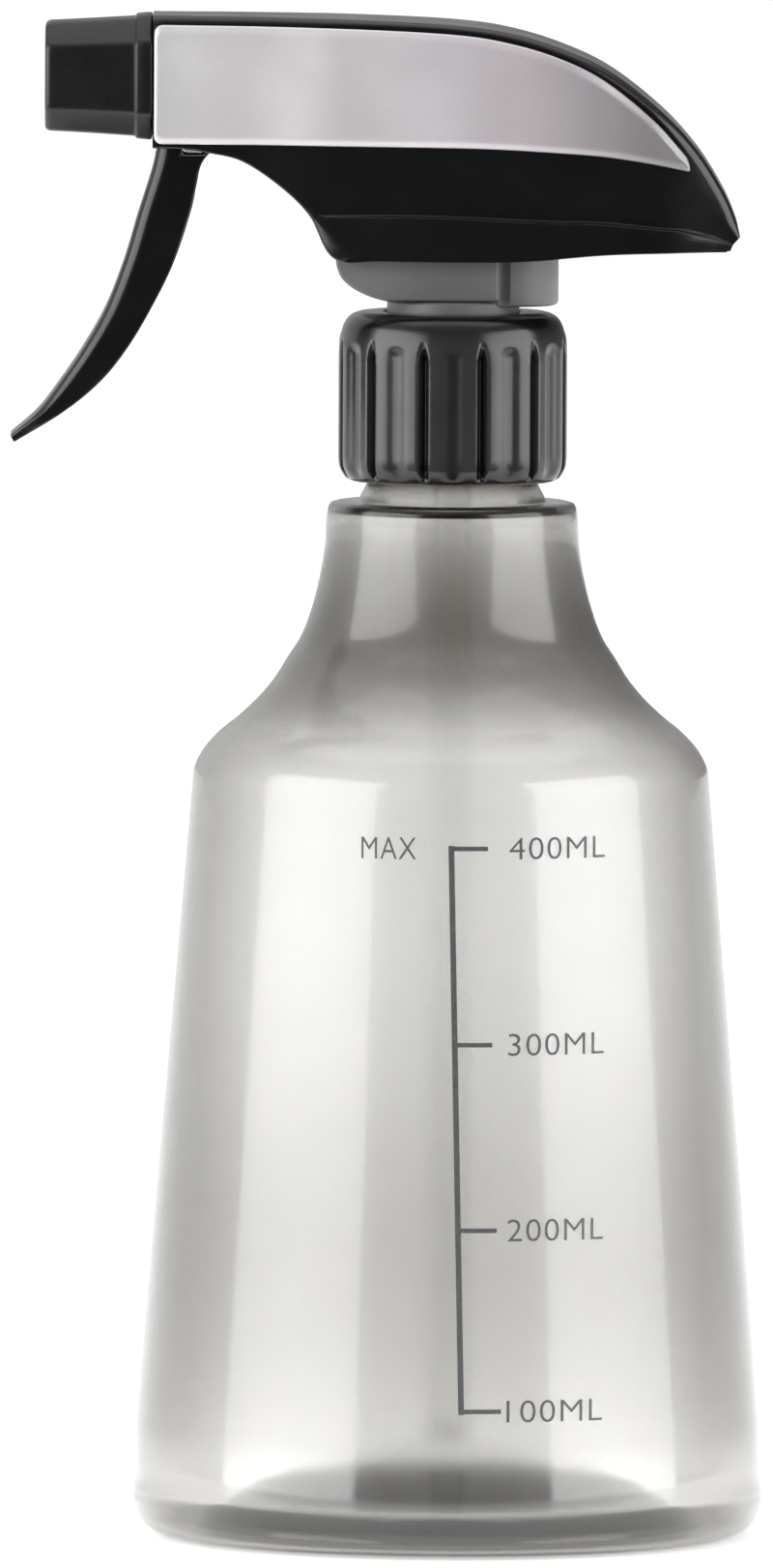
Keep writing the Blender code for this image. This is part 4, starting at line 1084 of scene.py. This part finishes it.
tops = spline([(*p, 0) for p in HEAD_TOP], 111)
bottoms = spline([(*p, 0) for p in HEAD_BOTTOM], 111)
shroud = from_rows("cowl", [head_section(b, t) for b, t in zip(bottoms, tops)], around=False)
applied(shroud, "SOLIDIFY", thickness=1.2 * MM, offset=-1.0)
finished(shroud, BLACK, "head", "black_plastic", "shroud", sharp=40.0)

# ------------------------------------------------------------------ side panels
PANEL_TOP_EDGE = [
    (-39.8, 201.0), (-26.0, 200.9), (-12.0, 200.6), (0.0, 200.0), (6.8, 199.0), (13.7, 197.0), (20.0, 193.9), (26.6, 188.6), (31.0, 183.7),
]
PANEL_LOW_EDGE = [
    (-39.8, 185.2), (-26.0, 185.2), (-12.0, 185.1), (0.0, 185.0), (6.8, 184.8), (13.7, 184.4), (20.0, 183.9), (26.5, 182.9), (31.4, 181.9),
]
CHAMFER, CHAMFER_DEEP, CORNER, GAP, THICK = 1.1, 0.42, 1.1, 0.3, 0.8


def edge_points(table, spots):
    dense = spline([(*p, 0) for p in table], 400)
    length = [0.0]
    for a, b in zip(dense, dense[1:]):
        length.append(length[-1] + (b - a).length)
    found = []
    for spot in spots:
        want = spot * length[-1]
        k = max(i for i in range(400) if length[i] <= want + 1e-9)
        k = min(k, 398)
        t = (want - length[k]) / (length[k + 1] - length[k])
        found.append(dense[k].lerp(dense[k + 1], t))
    return found


ALONG = 75.0
spots = [0.0, 0.05, 0.15, 0.3, 0.5, 0.75, 1.0, 1.1, 1.25]
spots = [s / ALONG for s in spots] + [(1.25 + (ALONG - 2.2) * i / 70) / ALONG for i in range(1, 71)] + [1 - s / ALONG for s in (0.75, 0.5, 0.3, 0.15, 0.05, 0.0)]
panel_tops = edge_points(PANEL_TOP_EDGE, spots)
panel_lows = edge_points(PANEL_LOW_EDGE, spots)
for name, side in (("side_panel_left", -1), ("side_panel_right", 1)):
    rows = []
    for spot, low, top in zip(spots, panel_lows, panel_tops):
        front = spot * ALONG
        back = (1 - spot) * ALONG
        pull = CORNER - math.sqrt(max(0.0, CORNER**2 - (CORNER - front) ** 2)) if front < CORNER else 0.0
        tail = 0.5 - math.sqrt(max(0.0, 0.25 - (0.5 - back) ** 2)) if back < 0.5 else 0.0
        up = (top - low).normalized()
        a, b = low + up * (pull + tail), top - up * (pull + tail)
        height = (b - a).length
        lines = [0.0, 0.04, 0.12, 0.55, CHAMFER, CHAMFER + 0.12]
        most = 0.42 * height
        lines = [min(l, most * (i + 1) / len(lines)) if height < 2.8 else l for i, l in enumerate(lines)]
        middles = [lines[-1] + (height - 2 * lines[-1]) * i / 7 for i in range(1, 7)]
        across = lines + middles + [height - l for l in reversed(lines)]
        ring = []
        for u in across:
            p = a + up * u
            near = min(u, height - u, front + 0.72, back + 0.35)
            sink = CHAMFER_DEEP * max(0.0, 1.0 - near / CHAMFER)
            brim = min(u, height - u, front)
            sink += 0.14 * max(0.0, 1.0 - brim / 0.12)
            ring.append((p.x, side * (head_half(p.x) + GAP + THICK - sink), p.y))
        for u in reversed(across):
            p = a + up * u
            ring.append((p.x, side * (head_half(p.x) + GAP), p.y))
        rows.append(ring)
    panel = from_rows(name + "_plate", rows, fill=True)
    finished(panel, SILVER, "head", "silver_plate", name, sharp=24.0)

# ------------------------------------------------------------------ studio
floor_nodes = Nodes("floor")
floor_nodes.link(
    floor_nodes.mixed(floor_nodes.ranged(floor_nodes.noise(0.7, 4.0), 0.0, 1.0), (0.88, 0.88, 0.88), (0.90, 0.90, 0.90)),
    floor_nodes.shader.inputs["Base Color"],
)
floor_nodes.shader.inputs["Roughness"].default_value = 0.9
floor_nodes.shader.inputs["Specular IOR Level"].default_value = 0.1
floor_nodes.shader.inputs["Emission Color"].default_value = (1.0, 1.0, 1.0, 1.0)
# painted shadow: the floor glows less within about 52 mm of the bottle's axis, a painted contact shadow under the
# bottle
under = floor_nodes.add("ShaderNodeVectorMath", operation="SUBTRACT")
under.inputs[1].default_value = (AXIS_X * MM, 0.0, 0.0)
floor_nodes.link(floor_nodes.place, under.inputs[0])
away = floor_nodes.add("ShaderNodeVectorMath", operation="LENGTH")
floor_nodes.link(under.outputs[0], away.inputs[0])
floor_nodes.link(floor_nodes.ranged(away.outputs["Value"], 0.42, 0.62, 0.030, 0.052), floor_nodes.shader.inputs["Emission Strength"])
half = 14.0
floor_mesh = bpy.data.meshes.new("floor")
front = -0.22
floor_mesh.from_pydata([(-half, front, 0), (half, front, 0), (half, half, 0), (-half, half, 0)], [], [(0, 1, 2, 3)])
floor_mesh.materials.append(floor_nodes.material)
floor = bpy.data.objects.new("floor", floor_mesh)
scene.collection.objects.link(floor)
floor.location.z = -0.0002

world = bpy.data.worlds.new("studio")
scene.world = world
world.use_nodes = True
tree = world.node_tree
tree.nodes.clear()
output = tree.nodes.new("ShaderNodeOutputWorld")
sky = tree.nodes.new("ShaderNodeBackground")
plain = tree.nodes.new("ShaderNodeBackground")
plain.inputs["Color"].default_value = (1.0, 1.0, 1.0, 1.0)
plain.inputs["Strength"].default_value = 1.0
direction = tree.nodes.new("ShaderNodeTexCoord")
split = tree.nodes.new("ShaderNodeSeparateXYZ")
tree.links.new(direction.outputs["Generated"], split.inputs[0])
ahead = tree.nodes.new("ShaderNodeMapRange")
ahead.interpolation_type = "SMOOTHSTEP"
ahead.inputs["From Min"].default_value = -0.95
ahead.inputs["From Max"].default_value = -0.2
ahead.inputs["To Min"].default_value = 0.08
tree.links.new(split.outputs["Y"], ahead.inputs["Value"])
across = tree.nodes.new("ShaderNodeMapRange")
across.interpolation_type = "SMOOTHSTEP"
across.inputs["From Min"].default_value = -0.5
across.inputs["From Max"].default_value = 0.5
across.inputs["To Min"].default_value = 0.95
across.inputs["To Max"].default_value = 0.16
tree.links.new(split.outputs["X"], across.inputs["Value"])
tree.links.new(across.outputs["Result"], ahead.inputs["To Max"])
above = tree.nodes.new("ShaderNodeMapRange")
above.interpolation_type = "SMOOTHSTEP"
above.inputs["From Min"].default_value = 0.35
above.inputs["From Max"].default_value = 0.95
above.inputs["To Min"].default_value = 0.0
above.inputs["To Max"].default_value = 0.85
tree.links.new(split.outputs["Z"], above.inputs["Value"])
brighter = tree.nodes.new("ShaderNodeMath")
brighter.operation = "MAXIMUM"
tree.links.new(ahead.outputs["Result"], brighter.inputs[0])
tree.links.new(above.outputs["Result"], brighter.inputs[1])
tree.links.new(brighter.outputs[0], sky.inputs["Strength"])
rays = tree.nodes.new("ShaderNodeLightPath")
seen = tree.nodes.new("ShaderNodeMath")
seen.operation = "MAXIMUM"
tree.links.new(rays.outputs["Is Camera Ray"], seen.inputs[0])
tree.links.new(rays.outputs["Is Transmission Ray"], seen.inputs[1])
choose = tree.nodes.new("ShaderNodeMixShader")
tree.links.new(seen.outputs[0], choose.inputs[0])
tree.links.new(sky.outputs[0], choose.inputs[1])
tree.links.new(plain.outputs[0], choose.inputs[2])
tree.links.new(choose.outputs[0], output.inputs["Surface"])


def soft_box(name, at, target, size, power):
    lamp = bpy.data.lights.new(name, "AREA")
    lamp.shape = "RECTANGLE"
    lamp.size, lamp.size_y = size
    lamp.energy = power
    obj = bpy.data.objects.new(name, lamp)
    scene.collection.objects.link(obj)
    obj.location = at
    way = Vector(target) - Vector(at)
    obj.rotation_euler = way.to_track_quat("-Z", "Y").to_euler()
    return obj


def round_the_object(azimuth, elevation, away):
    """A place seen from the object at this angle left or right of the camera."""
    a, e = math.radians(azimuth), math.radians(elevation)
    return (away * math.sin(a) * math.cos(e), -away * math.cos(a) * math.cos(e), 0.1 + away * math.sin(e))


BRIGHT = 3.9  # radiance of the two side boxes
for name, azimuth, wide in (("left_box", -62.0, 1.75), ("right_box", 65.0, 1.65)):
    tall = 1.25
    soft_box(name, round_the_object(azimuth, 14.0, 1.6), (0.0, 0.0, 0.1), (wide, tall), BRIGHT * math.pi * wide * tall)
soft_box("top_box", (0.0, 0.3, 1.9), (0.0, 0.0, 0.15), (2.4, 2.0), 12.0)

# ------------------------------------------------------------------ camera
LENS, FRAME_TALL, ELEVATION, ROLL = 800.0, 0.2084, 4.0, 0.28
distance = LENS * FRAME_TALL / 36.0
aim = Vector((-0.00027, 0.0, 0.0998))
eye = aim + distance * Vector((0.0, -math.cos(math.radians(ELEVATION)), math.sin(math.radians(ELEVATION))))
camera_data = bpy.data.cameras.new("camera")
camera_data.lens = LENS
camera_data.sensor_width = 36.0
camera_data.sensor_fit = "AUTO"
camera_data.clip_start = 0.05
camera_data.clip_end = 40.0
camera = bpy.data.objects.new("camera", camera_data)
scene.collection.objects.link(camera)
turn = (aim - eye).to_track_quat("-Z", "Y").to_matrix().to_4x4()
camera.matrix_world = Matrix.Translation(eye) @ turn @ Matrix.Rotation(math.radians(ROLL), 4, "Z")
scene.camera = camera
scene.view_settings.view_transform = "Standard"
scene.view_settings.look = "None"

bpy.context.view_layer.update()
